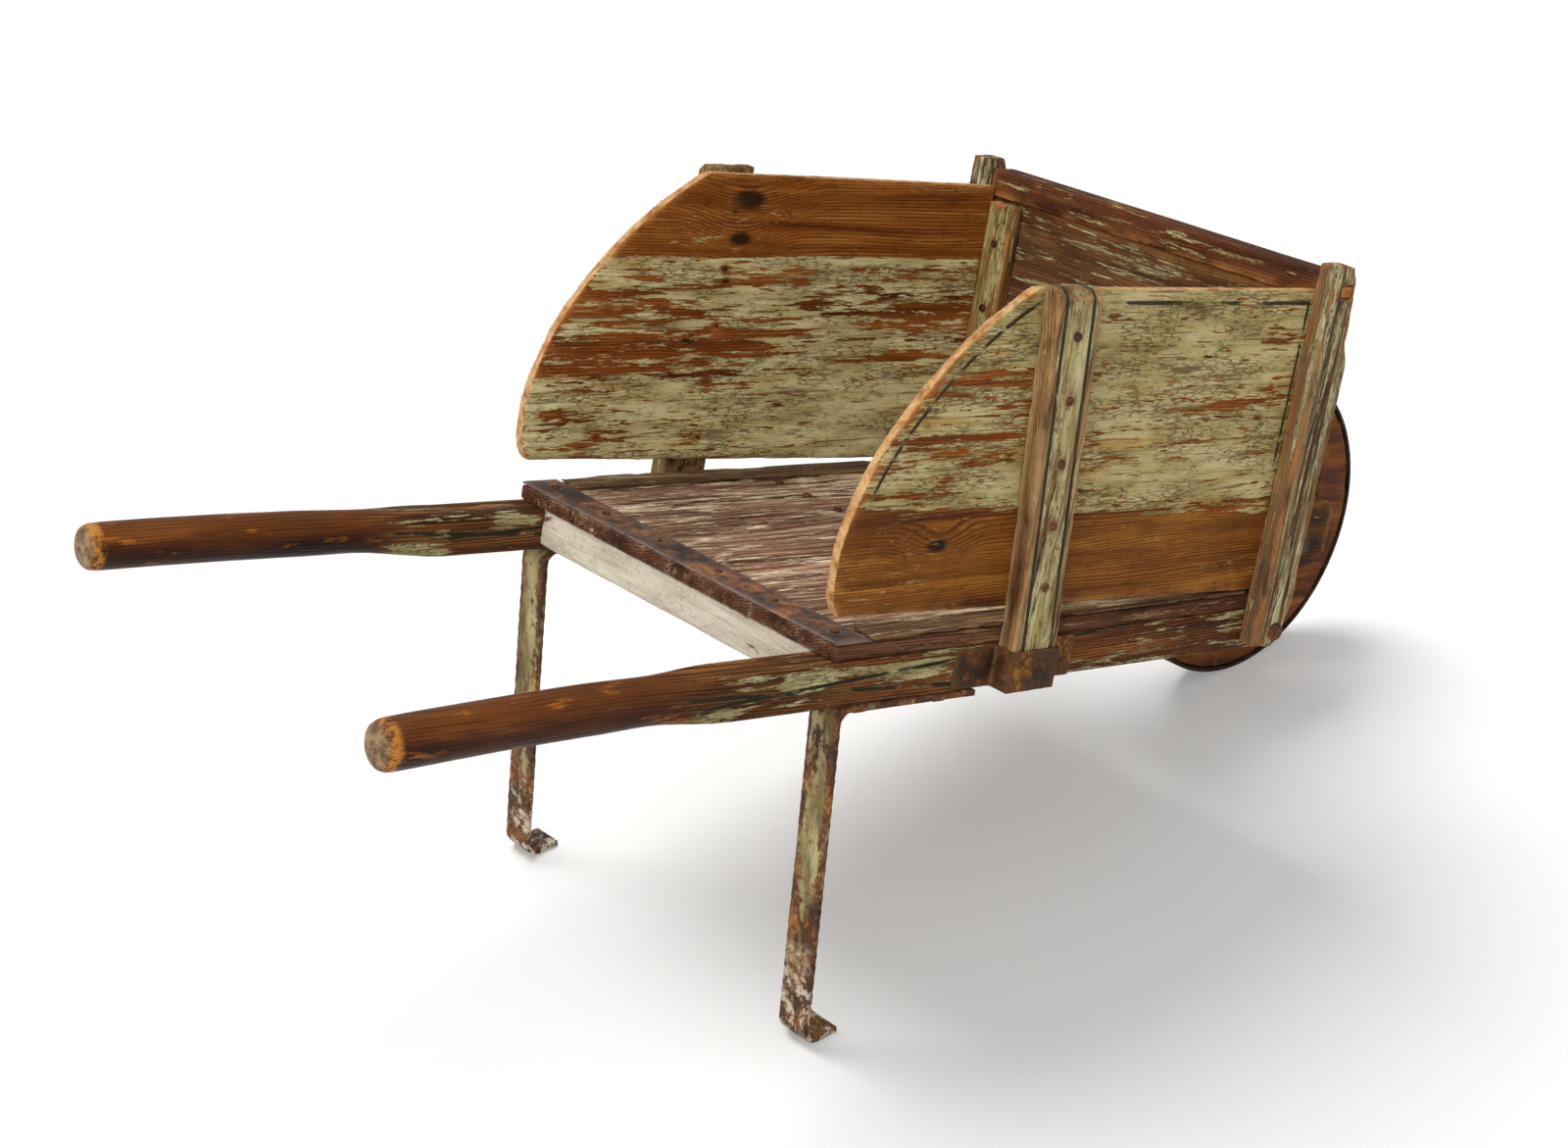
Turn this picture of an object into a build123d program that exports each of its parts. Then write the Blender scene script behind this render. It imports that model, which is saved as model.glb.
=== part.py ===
from build123d import *
from math import cos, radians, sin
import os

os.makedirs("parts", exist_ok=True)

# Antique wooden wheelbarrow. The bed is modelled level, with its rail tops at
# z = 0 and its rear edge at x = 0, then pitched down toward the wheel.
# All sizes are in millimetres.

# Stance
bed_pitch = 15.0
wheel_radius = 209.0
wheel_gap = 41.0
axle_above_rail = 6.7

# Rails and handles
bed_half_width = 284.0
rail_toe_in = 0.7
rail_width = 44.0
rail_depth = 50.0
rail_front = 722.0
rail_edge_round = 2.5
handle_length = 554.0
handle_diameter = 46.0
handle_square_run = 130.0
handle_round_start = 240.0
handle_flare = 17.0
handle_rise = 3.0
handle_tip_round = 6.0

# Cross rails and front sill
cross_rail_width = 42.0
rear_cross_inset = 4.0
rear_cross_depth = 43.0
middle_cross_rear = 330.0
sill_rear = 672.0
sill_front = 716.0
tenon_thickness = 16.0
tenon_length = 30.0
joint_clearance = 0.2

# Wheel arms
arm_spacing = 172.0
arm_width = 40.0
arm_nose_forward = 64.0
arm_nose_height = 62.0
arm_nose_drop = 20.0
arm_rise_start = 44.0
arm_stub = 18.0

# Wheel
tyre_thickness = 5.0
tyre_width = 46.0
felloe_depth = 58.0
felloe_width = 42.0
felloe_count = 4
felloe_gap = 0.5
spoke_count = 8
spoke_width = 24.0
spoke_thickness = 30.0
spoke_tenon = 18.0
hub_diameter = 92.0
hub_end_diameter = 68.0
hub_band_thickness = 3.0
hub_band_width = 12.0
axle_diameter = 20.0
bush_wall = 5.0
bush_flange = 3.0
running_clearance = 0.05
side_play = 0.5
axle_overhang = 16.0
washer_thickness = 3.0
washer_diameter = 40.0
pin_diameter = 5.0
pin_length = 42.0

# Floor
floor_thickness = 19.0
floor_front = 684.0
floor_gap = 2.0
floor_inset = 1.0
strap_width = 50.0
strap_thickness = 3.0
edge_strip_width = 39.0
edge_strip_thickness = 5.0

# Removable sides
side_thickness = 14.0
side_front = 676.0
side_top_rear = 396.0
side_top_front = 390.0
side_rear_lift = 26.0
side_seat_gap = 0.3
slide_gap = 0.5
cleat_width = 68.0
cleat_thickness = 26.0
cleat_top = 402.0
cleat_bevel = 10.0
tongue_depth = 46.0
left_cleat_foot = 243.0
left_cleat_head = 247.0
right_cleat_foot = 276.0
right_cleat_head = 241.0

# Socket straps
socket_thickness = 3.0
socket_clearance = 0.6
socket_top = -1.0
socket_rear_flange = 62.0
socket_front_flange = 54.0

# Headboard
post_rear = 664.0
post_thickness = 26.0
post_top = 424.0
post_foot = -40.0
post_depth_top = 42.0
post_depth_mid = 59.0
post_depth_foot = 46.0
panel_rear = 686.0
panel_thickness = 20.0
panel_split = 192.0
panel_gap = 0.6
top_rail_rear = 678.0
top_rail_depth = 38.0
top_rail_bottom = 376.0
top_rail_height = 35.0
top_rail_tenon = 20.0
inner_cleat_width = 46.0
inner_cleat_thickness = 20.0

# Legs
leg_inset = 21.0
leg_width = 44.0
leg_thickness = 8.0
leg_bend_radius = 16.0
leg_flange_front = 218.0
leg_top = 15.0
heel_back = 66.0
foot_length = 50.0

# Fasteners
nail_head_diameter = 10.0
nail_head_height = 2.5
nail_shank_diameter = 4.0
nail_length = 34.0
nail_clearance = 0.1
bolt_diameter = 9.0
bolt_head_diameter = 22.0
bolt_head_height = 6.0
bolt_nut_width = 17.0
bolt_nut_height = 8.0
bolt_tail = 4.0
screw_length = 46.0
screw_head_width = 16.0
screw_head_height = 7.0

pitch = radians(bed_pitch)
axle_forward = sill_front + wheel_gap + wheel_radius
rear_height = wheel_radius + axle_forward * sin(pitch) - axle_above_rail * cos(pitch)
floor_top = floor_thickness
strip_top = floor_top + edge_strip_thickness
rail_middle = -rail_width / 2
nodes = {}


def block(x0, x1, y0, y1, z0, z1):
    size = (x1 - x0, y1 - y0, z1 - z0)
    centre = ((x0 + x1) / 2, (y0 + y1) / 2, (z0 + z1) / 2)
    return Pos(*centre) * Box(*size)


def outline(points):
    return Polyline(*[(x, 0, z) for x, z in points], close=True)


def slab(edges, y0, y1):
    face = make_face(edges)
    return extrude(Pos(0, y0, 0) * face, amount=y1 - y0, dir=(0, 1, 0))


def rod(start, direction, length, radius):
    plane = Plane(origin=start, z_dir=direction)
    return extrude(plane * Circle(radius), amount=length)


def left(shape):
    return Pos(0, bed_half_width, 0) * Rot(0, 0, -rail_toe_in) * shape


def right(shape):
    return mirror(left(shape), about=Plane.XZ)


def swap(shape):
    return mirror(shape, about=Plane.XZ)


def group(shapes):
    solids = []
    for shape in shapes:
        solids.extend(shape.solids())
    return Compound(children=solids) if len(solids) > 1 else solids[0]


def nail(start, direction, length=nail_length):
    shank = rod(start, direction, length, nail_shank_diameter / 2)
    back = tuple(-value for value in direction)
    head = rod(start, back, nail_head_height, nail_head_diameter / 2)
    rim = head.edges().group_by(Axis(start, back))[-1]
    return shank + fillet(rim, nail_head_height * 0.6)


def nail_hole(start, direction, length=nail_length):
    back = tuple(-value for value in direction)
    origin = tuple(s + b for s, b in zip(start, back))
    return rod(origin, direction, length + 1.5, nail_shank_diameter / 2 + nail_clearance)


# Cross rails, cut to the toed-in rails and tenoned into them
def outside(margin):
    reach = bed_half_width + handle_flare
    solid = block(-handle_length, axle_forward * 2, -margin, reach, -500, 500)
    return left(solid) + right(solid)


def cross_rail(rear, front, depth):
    span = block(rear, front, -bed_half_width, bed_half_width, -depth, 0)
    body = span - outside(rail_width)
    half = tenon_thickness / 2
    shoulder = (front - rear) / 6
    tongue = block(rear + shoulder, front - shoulder, -bed_half_width, bed_half_width,
                   -depth / 2 - half, -depth / 2 + half)
    return body + (tongue - outside(rail_width - tenon_length))


def mortise(rear, front, depth):
    half = tenon_thickness / 2 + joint_clearance
    shoulder = (front - rear) / 6 - joint_clearance
    inner = bed_half_width - rail_width * 2
    slot = block(rear + shoulder, front - shoulder, inner, bed_half_width,
                 -depth / 2 - half, -depth / 2 + half)
    return slot - outside(rail_width - tenon_length - joint_clearance)


rear_cross_front = rear_cross_inset + cross_rail_width
middle_cross_front = middle_cross_rear + cross_rail_width
crossings = {
    "rear_cross_rail": (rear_cross_inset, rear_cross_front, rear_cross_depth),
    "middle_cross_rail": (middle_cross_rear, middle_cross_front, rail_depth),
    "front_sill": (sill_rear, sill_front, rail_depth),
}
for name, spec in crossings.items():
    nodes[name] = cross_rail(*spec)
mortises = [mortise(*spec) for spec in crossings.values()]

# Rails, square along the bed and worked round at the handles
def rail_section(x, width, depth, radius, shift, top):
    plane = Plane(origin=(x, rail_middle + shift, top - depth / 2), x_dir=(0, 1, 0), z_dir=(-1, 0, 0))
    return plane * RectangleRounded(width, depth, radius)


round_radius = handle_diameter / 2 - 0.05


def handle_station(x):
    along = (-x - handle_square_run) / (handle_length - handle_square_run)
    turn = min(1.0, (-x - handle_square_run) / (handle_round_start - handle_square_run))
    ease = turn * turn * (3 - 2 * turn)
    width = rail_width + (handle_diameter - rail_width) * ease
    depth = rail_depth + (handle_diameter - rail_depth) * ease
    radius = rail_edge_round + (round_radius - rail_edge_round) * ease
    return x, width, depth, radius, handle_flare * along, handle_rise * 4 * along * (1 - along)


tip_start = handle_length - handle_tip_round
worked_step = (handle_round_start - handle_square_run) / 5
round_step = (tip_start - handle_round_start) / 4
station_places = [-handle_square_run - worked_step * step for step in range(5)]
station_places += [-handle_round_start - round_step * step for step in range(5)]
handle_stations = [handle_station(x) for x in station_places]
handle = loft([rail_section(*station) for station in handle_stations], ruled=True)
tip_diameter = handle_diameter - handle_tip_round * 1.6
tip_drop = (tip_diameter - handle_diameter) / 2
tip_radius = round_radius + tip_drop
tip_top = handle_stations[-1][-1] + tip_drop
tip_section = rail_section(-handle_length, tip_diameter, tip_diameter, tip_radius, handle_flare, tip_top)
tip = loft([rail_section(*handle_stations[-1]), tip_section], ruled=True)
beam_face = rail_section(rail_front, rail_width, rail_depth, rail_edge_round, 0.0, 0.0)
beam = extrude(beam_face, amount=rail_front + handle_square_run, dir=(-1, 0, 0))
rail = left(beam + handle + tip)
for slot in mortises:
    rail = rail - slot

# Wheel arms, half lapped under the front sill
arm_inner = (arm_spacing - arm_width) / 2
arm_outer = arm_inner + arm_width
nose_front = axle_forward + arm_nose_forward
nose_back = axle_forward - arm_nose_forward
arm_edges = outline([
    (middle_cross_front, -rail_depth),
    (nose_back, -rail_depth),
    (nose_front - 18, -arm_nose_drop - 6),
    (nose_front, -arm_nose_drop + 10),
    (nose_front, arm_nose_height - 14),
    (nose_front - 14, arm_nose_height),
    (nose_back + 10, arm_nose_height),
    (nose_back - 60, arm_nose_height * 0.6),
    (sill_front + arm_rise_start, 0),
    (middle_cross_front, 0),
])
arm = slab(arm_edges, arm_inner, arm_outer)
stub_half = arm_width / 4
stub_box = (middle_cross_front - arm_stub, middle_cross_front + 1, arm_inner + stub_half, arm_outer - stub_half,
            -rail_depth * 0.7, -rail_depth * 0.3)
arm = arm + block(*stub_box)
lap = rail_depth / 2
arm = arm - block(sill_rear - joint_clearance, sill_front + joint_clearance, 0, bed_half_width, -lap, 1)
stub_slot = block(stub_box[0] - joint_clearance, stub_box[1], stub_box[2] - joint_clearance,
                  stub_box[3] + joint_clearance, stub_box[4] - joint_clearance, stub_box[5] + joint_clearance)
lap_slot = block(sill_rear - 1, sill_front + 1, arm_inner - joint_clearance, arm_outer + joint_clearance,
                 -rail_depth - 1, -lap)
for side in (lambda shape: shape, swap):
    nodes["middle_cross_rail"] = nodes["middle_cross_rail"] - side(stub_slot)
    nodes["front_sill"] = nodes["front_sill"] - side(lap_slot)

# Bushes in the arms
axle_radius = axle_diameter / 2
bush_bore = axle_radius + running_clearance
bush_radius = bush_bore + bush_wall
axle_point = (axle_forward, 0, axle_above_rail)


def along_axle(y0, y1, radius):
    return rod((axle_forward, y0, axle_above_rail), (0, 1, 0), y1 - y0, radius)


flange_face = arm_inner - bush_flange
bush = along_axle(arm_inner, arm_outer, bush_radius)
bush = bush + along_axle(flange_face, arm_inner, bush_radius + 8)
bush = bush - along_axle(0, arm_outer + 1, bush_bore)
arm = arm - along_axle(0, arm_outer + 1, bush_radius + running_clearance)
nodes["axle_bushes"] = group([bush, swap(bush)])
nodes["left_wheel_arm"] = arm
nodes["right_wheel_arm"] = swap(arm)

# Wheel
hub_half = flange_face - side_play
felloe_outer = wheel_radius - tyre_thickness
felloe_inner = felloe_outer - felloe_depth
hub_radius = hub_diameter / 2
hub_end_radius = hub_end_diameter / 2


def upright(shape):
    return Pos(*axle_point) * Rot(90, 0, 0) * shape


tyre = Cylinder(wheel_radius, tyre_width) - Cylinder(felloe_outer, tyre_width + 1)
tyre = chamfer(tyre.edges().filter_by(GeomType.CIRCLE), 1.0)
nodes["tyre"] = upright(tyre)

rim = Cylinder(felloe_outer - joint_clearance, felloe_width) - Cylinder(felloe_inner, felloe_width + 1)
rim = chamfer(rim.edges().filter_by(GeomType.CIRCLE).group_by(SortBy.RADIUS)[0], 3.0)
felloe_step = 360 / felloe_count
spoke_step = 360 / spoke_count
spoke_outer = felloe_inner + spoke_tenon
spoke_root = hub_radius - spoke_tenon
half_width = spoke_width / 2
half_thick = spoke_thickness / 2
root_half = half_width * 0.7
neck_half = half_width * 0.8
tip_half = half_width * 0.5
rim_shoulder = (felloe_inner ** 2 - neck_half ** 2) ** 0.5
spoke_edges = Polyline(
    (spoke_root, -root_half),
    (hub_radius, -root_half),
    (hub_radius, -half_width),
    (rim_shoulder, -neck_half),
    (rim_shoulder, -tip_half),
    (spoke_outer, -tip_half),
    (spoke_outer, tip_half),
    (rim_shoulder, tip_half),
    (rim_shoulder, neck_half),
    (hub_radius, half_width),
    (hub_radius, root_half),
    (spoke_root, root_half),
    close=True,
)
spoke = extrude(make_face(spoke_edges), amount=half_thick, both=True)


def slot_tool(x0, x1, half):
    side = half + joint_clearance
    face = half_thick + joint_clearance
    return block(x0, x1, -side, side, -face, face)


tenon_tool = slot_tool(felloe_inner - 10, spoke_outer + joint_clearance, tip_half)
root_tool = slot_tool(spoke_root - joint_clearance, hub_radius + 5, root_half)
gap_half = felloe_gap / 2
gap_tool = block(felloe_inner - 5, felloe_outer + 5, -gap_half, gap_half, -felloe_width, felloe_width)

hub_points = [
    (0, -hub_half),
    (hub_end_radius, -hub_half),
    (hub_end_radius, -hub_half + hub_band_width),
    (hub_radius, -half_thick - 8),
    (hub_radius, half_thick + 8),
    (hub_end_radius, hub_half - hub_band_width),
    (hub_end_radius, hub_half),
    (0, hub_half),
]
hub_profile = make_face(Polyline(*[(r, 0, z) for r, z in hub_points], close=True))
hub = revolve(hub_profile, Axis.Z)
hub = hub - Cylinder(bush_bore, hub_half * 2 + 2)
spokes = []
for index in range(spoke_count):
    turn = Rot(0, 0, spoke_step * (index + 0.5))
    spokes.append(turn * spoke)
    hub = hub - turn * root_tool
    rim = rim - turn * tenon_tool
for index in range(felloe_count):
    rim = rim - Rot(0, 0, felloe_step * index) * gap_tool
nodes["felloes"] = upright(group([rim]))
nodes["spokes"] = upright(group(spokes))
nodes["hub"] = upright(hub)
band = Cylinder(hub_end_radius + hub_band_thickness, hub_band_width)
band = band - Cylinder(hub_end_radius + running_clearance, hub_band_width + 1)
band_centre = hub_half - hub_band_width / 2
nodes["hub_bands"] = group([upright(Pos(0, 0, band_centre * sign) * band) for sign in (-1, 1)])

axle_half = arm_outer + axle_overhang
pin_place = arm_outer + side_play + washer_thickness + side_play + pin_diameter / 2
axle = Cylinder(axle_radius, axle_half * 2)
axle = chamfer(axle.edges().filter_by(GeomType.CIRCLE), 1.5)
pin_hole = Rot(0, 90, 0) * Cylinder(pin_diameter / 2 + nail_clearance, axle_diameter + 2)
pin = Rot(0, 90, 0) * Cylinder(pin_diameter / 2, pin_length)
washer = Cylinder(washer_diameter / 2, washer_thickness) - Cylinder(bush_bore, washer_thickness + 1)
washer_place = arm_outer + side_play + washer_thickness / 2
for sign in (-1, 1):
    axle = axle - Pos(0, 0, pin_place * sign) * pin_hole
nodes["axle"] = upright(axle)
nodes["axle_washers"] = group([upright(Pos(0, 0, washer_place * sign) * washer) for sign in (-1, 1)])
nodes["linch_pins"] = group([upright(Pos(0, 0, pin_place * sign) * pin) for sign in (-1, 1)])

# Floor of lengthwise boards, with an iron strap across the rear edge
edge_limit = outside(floor_inset)
board_step = bed_half_width / 2
floor_boards = []
for index in range(4):
    y0 = -bed_half_width + board_step * index
    board = block(0, floor_front, y0 + floor_gap / 2, y0 + board_step - floor_gap / 2, 0, floor_top)
    floor_boards.append(board - edge_limit)

strap_top = floor_top + strap_thickness
floor_strap = block(0, strap_width, -bed_half_width, bed_half_width, floor_top, strap_top) - edge_limit
strap_nail_shares = (0.19, 0.53, 0.88)
strap_nail_rows = [bed_half_width * share * sign for share in strap_nail_shares for sign in (-1, 1)]
strap_nail_spots = [(strap_width / 2, y) for y in strap_nail_rows]
strap_nails = [nail((x, y, strap_top), (0, 0, -1)) for x, y in strap_nail_spots]
strap_tools = [nail_hole((x, y, strap_top), (0, 0, -1)) for x, y in strap_nail_spots]

middle_line = middle_cross_rear + cross_rail_width / 2
floor_nail_shares = (0.2, 0.8, 1.2, 1.58)
floor_nail_spots = [(middle_line, board_step * share * sign) for share in floor_nail_shares for sign in (-1, 1)]
floor_nails = [nail((x, y, floor_top), (0, 0, -1)) for x, y in floor_nail_spots]
floor_tools = [nail_hole((x, y, floor_top), (0, 0, -1)) for x, y in floor_nail_spots]

for tool in strap_tools:
    floor_strap = floor_strap - tool
for number, board in enumerate(floor_boards, 1):
    for tool in strap_tools + floor_tools:
        if board.bounding_box().min.Y < tool.center().Y < board.bounding_box().max.Y:
            board = board - tool
    nodes[f"floor_board_{number}"] = board
for tool in strap_tools:
    nodes["rear_cross_rail"] = nodes["rear_cross_rail"] - tool
    rail = rail - tool
for tool in floor_tools:
    nodes["middle_cross_rail"] = nodes["middle_cross_rail"] - tool
    rail = rail - tool
nodes["rear_floor_strap"] = floor_strap
nodes["floor_nails"] = group(strap_nails + floor_nails)

strip = block(strap_width + 4, post_rear - 2, -edge_strip_width - floor_inset, -floor_inset, floor_top, strip_top)
right_rail = swap(rail)
nodes["left_edge_strip"] = left(strip)
nodes["right_edge_strip"] = right(strip)

# Removable sides: a shaped board, an outer cleat and the nails through both
side_outer = -slide_gap
side_inner = side_outer - side_thickness
side_seat = strip_top + side_seat_gap
side_curve = [
    (-17.0, side_seat + side_rear_lift + 16),
    (-20.0, side_seat + side_rear_lift + 50),
    (-17.0, 134.0),
    (-7.0, 170.0),
    (10.0, 210.0),
    (36.0, 251.0),
    (68.0, 290.0),
    (102.0, 325.0),
    (150.0, 364.0),
    (204.0, side_top_rear),
]
curve = Spline(*[(x, 0, z) for x, z in side_curve])
side_path = [
    (204.0, side_top_rear),
    (side_front, side_top_front),
    (side_front, side_seat),
    (-6.0, side_seat + side_rear_lift),
    (-17.0, side_seat + side_rear_lift + 16),
]
side_rest = Polyline(*[(x, 0, z) for x, z in side_path])
side_board = slab(curve + side_rest, side_inner, side_outer)

cleat_outer = side_outer + cleat_thickness
cleat_half = cleat_width / 2
cleat_side_view = Polyline(
    (0, side_outer, cleat_top),
    (0, cleat_outer - cleat_bevel, cleat_top),
    (0, cleat_outer, cleat_top - cleat_bevel),
    (0, cleat_outer, -tongue_depth),
    (0, slide_gap, -tongue_depth),
    (0, slide_gap, side_seat),
    (0, side_outer, side_seat),
    close=True,
)


def cleat(foot, head):
    front_view = outline([
        (foot - cleat_half, -tongue_depth),
        (foot + cleat_half, -tongue_depth),
        (foot + cleat_half, side_seat),
        (head + cleat_half, cleat_top),
        (head - cleat_half, cleat_top),
        (foot - cleat_half, side_seat),
    ])
    start = min(foot, head) - cleat_half - 1
    length = abs(foot - head) + cleat_width + 2
    profile = extrude(Pos(start, 0, 0) * make_face(cleat_side_view), amount=length, dir=(1, 0, 0))
    return profile & slab(front_view, side_outer - 1, cleat_outer + 1)


cleat_nail_heights = (70.0, 140.0, 210.0, 280.0, 350.0)
cleat_nail_length = cleat_thickness + side_thickness + 2


def side_assembly(foot, head, place, name):
    board, strip_piece, nails = side_board, cleat(foot, head), []
    for height in cleat_nail_heights:
        middle = foot + (head - foot) * (height - side_seat) / (cleat_top - side_seat)
        start = (middle, cleat_outer, height)
        nails.append(nail(start, (0, -1, 0), cleat_nail_length))
        tool = nail_hole(start, (0, -1, 0), cleat_nail_length)
        board = board - tool
        strip_piece = strip_piece - tool
    nodes[f"{name}_side_board"] = place(board)
    nodes[f"{name}_side_cleat"] = place(strip_piece)
    nodes[f"{name}_side_nails"] = group([place(item) for item in nails])


side_assembly(left_cleat_foot, left_cleat_head, left, "left")
side_assembly(right_cleat_foot, right_cleat_head, right, "right")

# Socket straps that hold the cleats against the rails
hat_half = cleat_half + socket_clearance
hat_depth = cleat_outer + socket_clearance
socket_foot = -tongue_depth - side_seat_gap - socket_thickness


def socket(foot):
    height = (socket_foot, socket_top)
    outer = block(foot - hat_half - socket_thickness, foot + hat_half + socket_thickness, 0,
                  hat_depth + socket_thickness, *height)
    inner = block(foot - hat_half, foot + hat_half, -1, hat_depth, socket_foot + socket_thickness, socket_top + 1)
    wings = block(foot - hat_half - socket_rear_flange, foot + hat_half + socket_front_flange, 0,
                  socket_thickness, *height)
    return outer + wings - inner


def socket_nail_spots(foot):
    middle = (socket_foot + socket_top) / 2
    return [
        (foot - hat_half - socket_rear_flange * 0.7, middle - 8),
        (foot - hat_half - socket_rear_flange * 0.35, middle + 9),
        (foot + hat_half + socket_front_flange * 0.4, middle + 8),
        (foot + hat_half + socket_front_flange * 0.72, middle - 8),
    ]


socket_nails = []
rails = {"left": rail, "right": right_rail}
for name, place, foot in (("left", left, left_cleat_foot), ("right", right, right_cleat_foot)):
    strap = place(socket(foot))
    for x, z in socket_nail_spots(foot):
        socket_nails.append(place(nail((x, socket_thickness, z), (0, -1, 0))))
        tool = place(nail_hole((x, socket_thickness, z), (0, -1, 0)))
        strap = strap - tool
        rails[name] = rails[name] - tool
        nodes["middle_cross_rail"] = nodes["middle_cross_rail"] - tool
    nodes[f"{name}_socket_strap"] = strap
nodes["socket_nails"] = group(socket_nails)

# Headboard: posts outside the rails, a panel of two boards and a top rail
post_height = post_top - post_foot
post_outline = [
    (post_rear, post_foot),
    (post_rear + post_depth_foot - 14, post_foot),
    (post_rear + post_depth_foot, post_foot + 10),
    (post_rear + post_depth_mid - 2, post_foot + post_height * 0.12),
    (post_rear + post_depth_mid - 1, post_foot + post_height * 0.35),
    (post_rear + post_depth_mid, post_foot + post_height * 0.55),
    (post_rear + post_depth_mid - 1, post_foot + post_height * 0.75),
    (post_rear + post_depth_top + 6, post_foot + post_height * 0.81),
    (post_rear + post_depth_top + 5, post_foot + post_height * 0.87),
    (post_rear + post_depth_top, post_foot + post_height * 0.96),
    (post_rear + post_depth_top - 9, post_top),
    (post_rear, post_top),
]
post = slab(outline(post_outline), 0, post_thickness)
bolt_spot = (post_rear + post_depth_mid * 0.55, -rail_depth * 0.42)
panel_limit = outside(side_seat_gap)
tenon_z = top_rail_bottom + top_rail_height / 2
tenon_half = top_rail_tenon / 2
top_rail_front = top_rail_rear + top_rail_depth
tenon_mid = top_rail_rear + post_depth_top / 2 - 6
tenon_box = block(tenon_mid - tenon_half, tenon_mid + tenon_half, -bed_half_width * 2, bed_half_width * 2,
                  tenon_z - tenon_half * 0.7, tenon_z + tenon_half * 0.7)
tenon_slot = block(tenon_mid - tenon_half - joint_clearance, tenon_mid + tenon_half + joint_clearance,
                   bed_half_width / 2, bed_half_width * 2, tenon_z - tenon_half * 0.7 - joint_clearance,
                   tenon_z + tenon_half * 0.7 + joint_clearance)
top_rail = block(top_rail_rear, top_rail_front, -bed_half_width, bed_half_width, top_rail_bottom,
                 top_rail_bottom + top_rail_height)
top_edges = top_rail.edges().filter_by(Axis.Y).group_by(Axis.Z)[-1]
top_rail = fillet(top_edges, 5.0) - panel_limit
top_rail = top_rail + (tenon_box - outside(-post_thickness))
nodes["headboard_top_rail"] = top_rail

bolt_radius = bolt_diameter / 2
bolt_reach = post_thickness + rail_width


def post_bolt():
    x, z = bolt_spot
    shank = rod((x, post_thickness, z), (0, -1, 0), bolt_reach + bolt_nut_height + bolt_tail, bolt_radius)
    head = rod((x, post_thickness, z), (0, 1, 0), bolt_head_height, bolt_head_diameter / 2)
    rim = head.edges().group_by(Axis.Y)[-1]
    return shank + fillet(rim, bolt_head_height * 0.8)


def post_nut():
    x, z = bolt_spot
    nut = block(x - bolt_nut_width / 2, x + bolt_nut_width / 2, -rail_width - bolt_nut_height, -rail_width,
                z - bolt_nut_width / 2, z + bolt_nut_width / 2)
    return nut - bolt_hole()


def bolt_hole():
    x, z = bolt_spot
    return rod((x, post_thickness + 1, z), (0, -1, 0), bolt_reach + bolt_nut_height * 2, bolt_radius + nail_clearance)


nodes["post_bolts"] = group([left(post_bolt()), right(post_bolt())])
nodes["post_nuts"] = group([left(post_nut()), right(post_nut())])
nut_room = block(bolt_spot[0] - bolt_nut_width, bolt_spot[0] + bolt_nut_width, -rail_width - bolt_nut_height * 2,
                 -rail_width, bolt_spot[1] - bolt_nut_width / 2 - 1, bolt_spot[1] + bolt_nut_width / 2 + 1)
nodes["left_post"] = left(post) - tenon_slot - left(bolt_hole())
nodes["right_post"] = right(post) - swap(tenon_slot) - right(bolt_hole())
rails["left"] = rails["left"] - left(bolt_hole())
rails["right"] = rails["right"] - right(bolt_hole())
for place in (left, right):
    nodes["front_sill"] = nodes["front_sill"] - place(nut_room) - place(bolt_hole())

panel_front = panel_rear + panel_thickness
for name, z0, z1 in (("lower", 0, panel_split), ("upper", panel_split + panel_gap, top_rail_bottom)):
    board = block(panel_rear, panel_front, -bed_half_width, bed_half_width, z0, z1)
    nodes[f"headboard_{name}_board"] = board - panel_limit

cleat_edge = side_inner - slide_gap
cleat_back = cleat_edge - inner_cleat_width
panel_room = block(panel_rear, panel_rear * 2, -bed_half_width * 2, bed_half_width * 2, -1, post_top * 2)
inner_cleat = block(panel_rear - inner_cleat_thickness, panel_rear + 2, cleat_back, cleat_edge, floor_top,
                    top_rail_bottom - 4)
inner_nails = []
inner_cleats = {"left": left(inner_cleat) - panel_room, "right": right(inner_cleat) - panel_room}
for name, place in (("left", left), ("right", right)):
    for height in (60.0, 140.0, 235.0, 320.0):
        start = (panel_rear - inner_cleat_thickness, (cleat_edge + cleat_back) / 2, height)
        inner_nails.append(place(nail(start, (1, 0, 0), inner_cleat_thickness + panel_thickness * 0.7)))
        tool = place(nail_hole(start, (1, 0, 0), inner_cleat_thickness + panel_thickness * 0.7))
        inner_cleats[name] = inner_cleats[name] - tool
        for part in ("lower", "upper"):
            nodes[f"headboard_{part}_board"] = nodes[f"headboard_{part}_board"] - tool
    nodes[f"{name}_inner_cleat"] = inner_cleats[name]
nodes["inner_cleat_nails"] = group(inner_nails)
strip_limit = block(panel_rear - inner_cleat_thickness - 1, panel_rear * 2, -bed_half_width, bed_half_width,
                    floor_top, strip_top + 1)
for name in ("left", "right"):
    nodes[f"{name}_edge_strip"] = nodes[f"{name}_edge_strip"] - strip_limit

# Legs of flat iron bar, bolted under the rails, with feet that lie flat
def from_ground(x, z):
    drop = z - rear_height
    return (x * cos(pitch) - drop * sin(pitch), 0, x * sin(pitch) + drop * cos(pitch))


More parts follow.
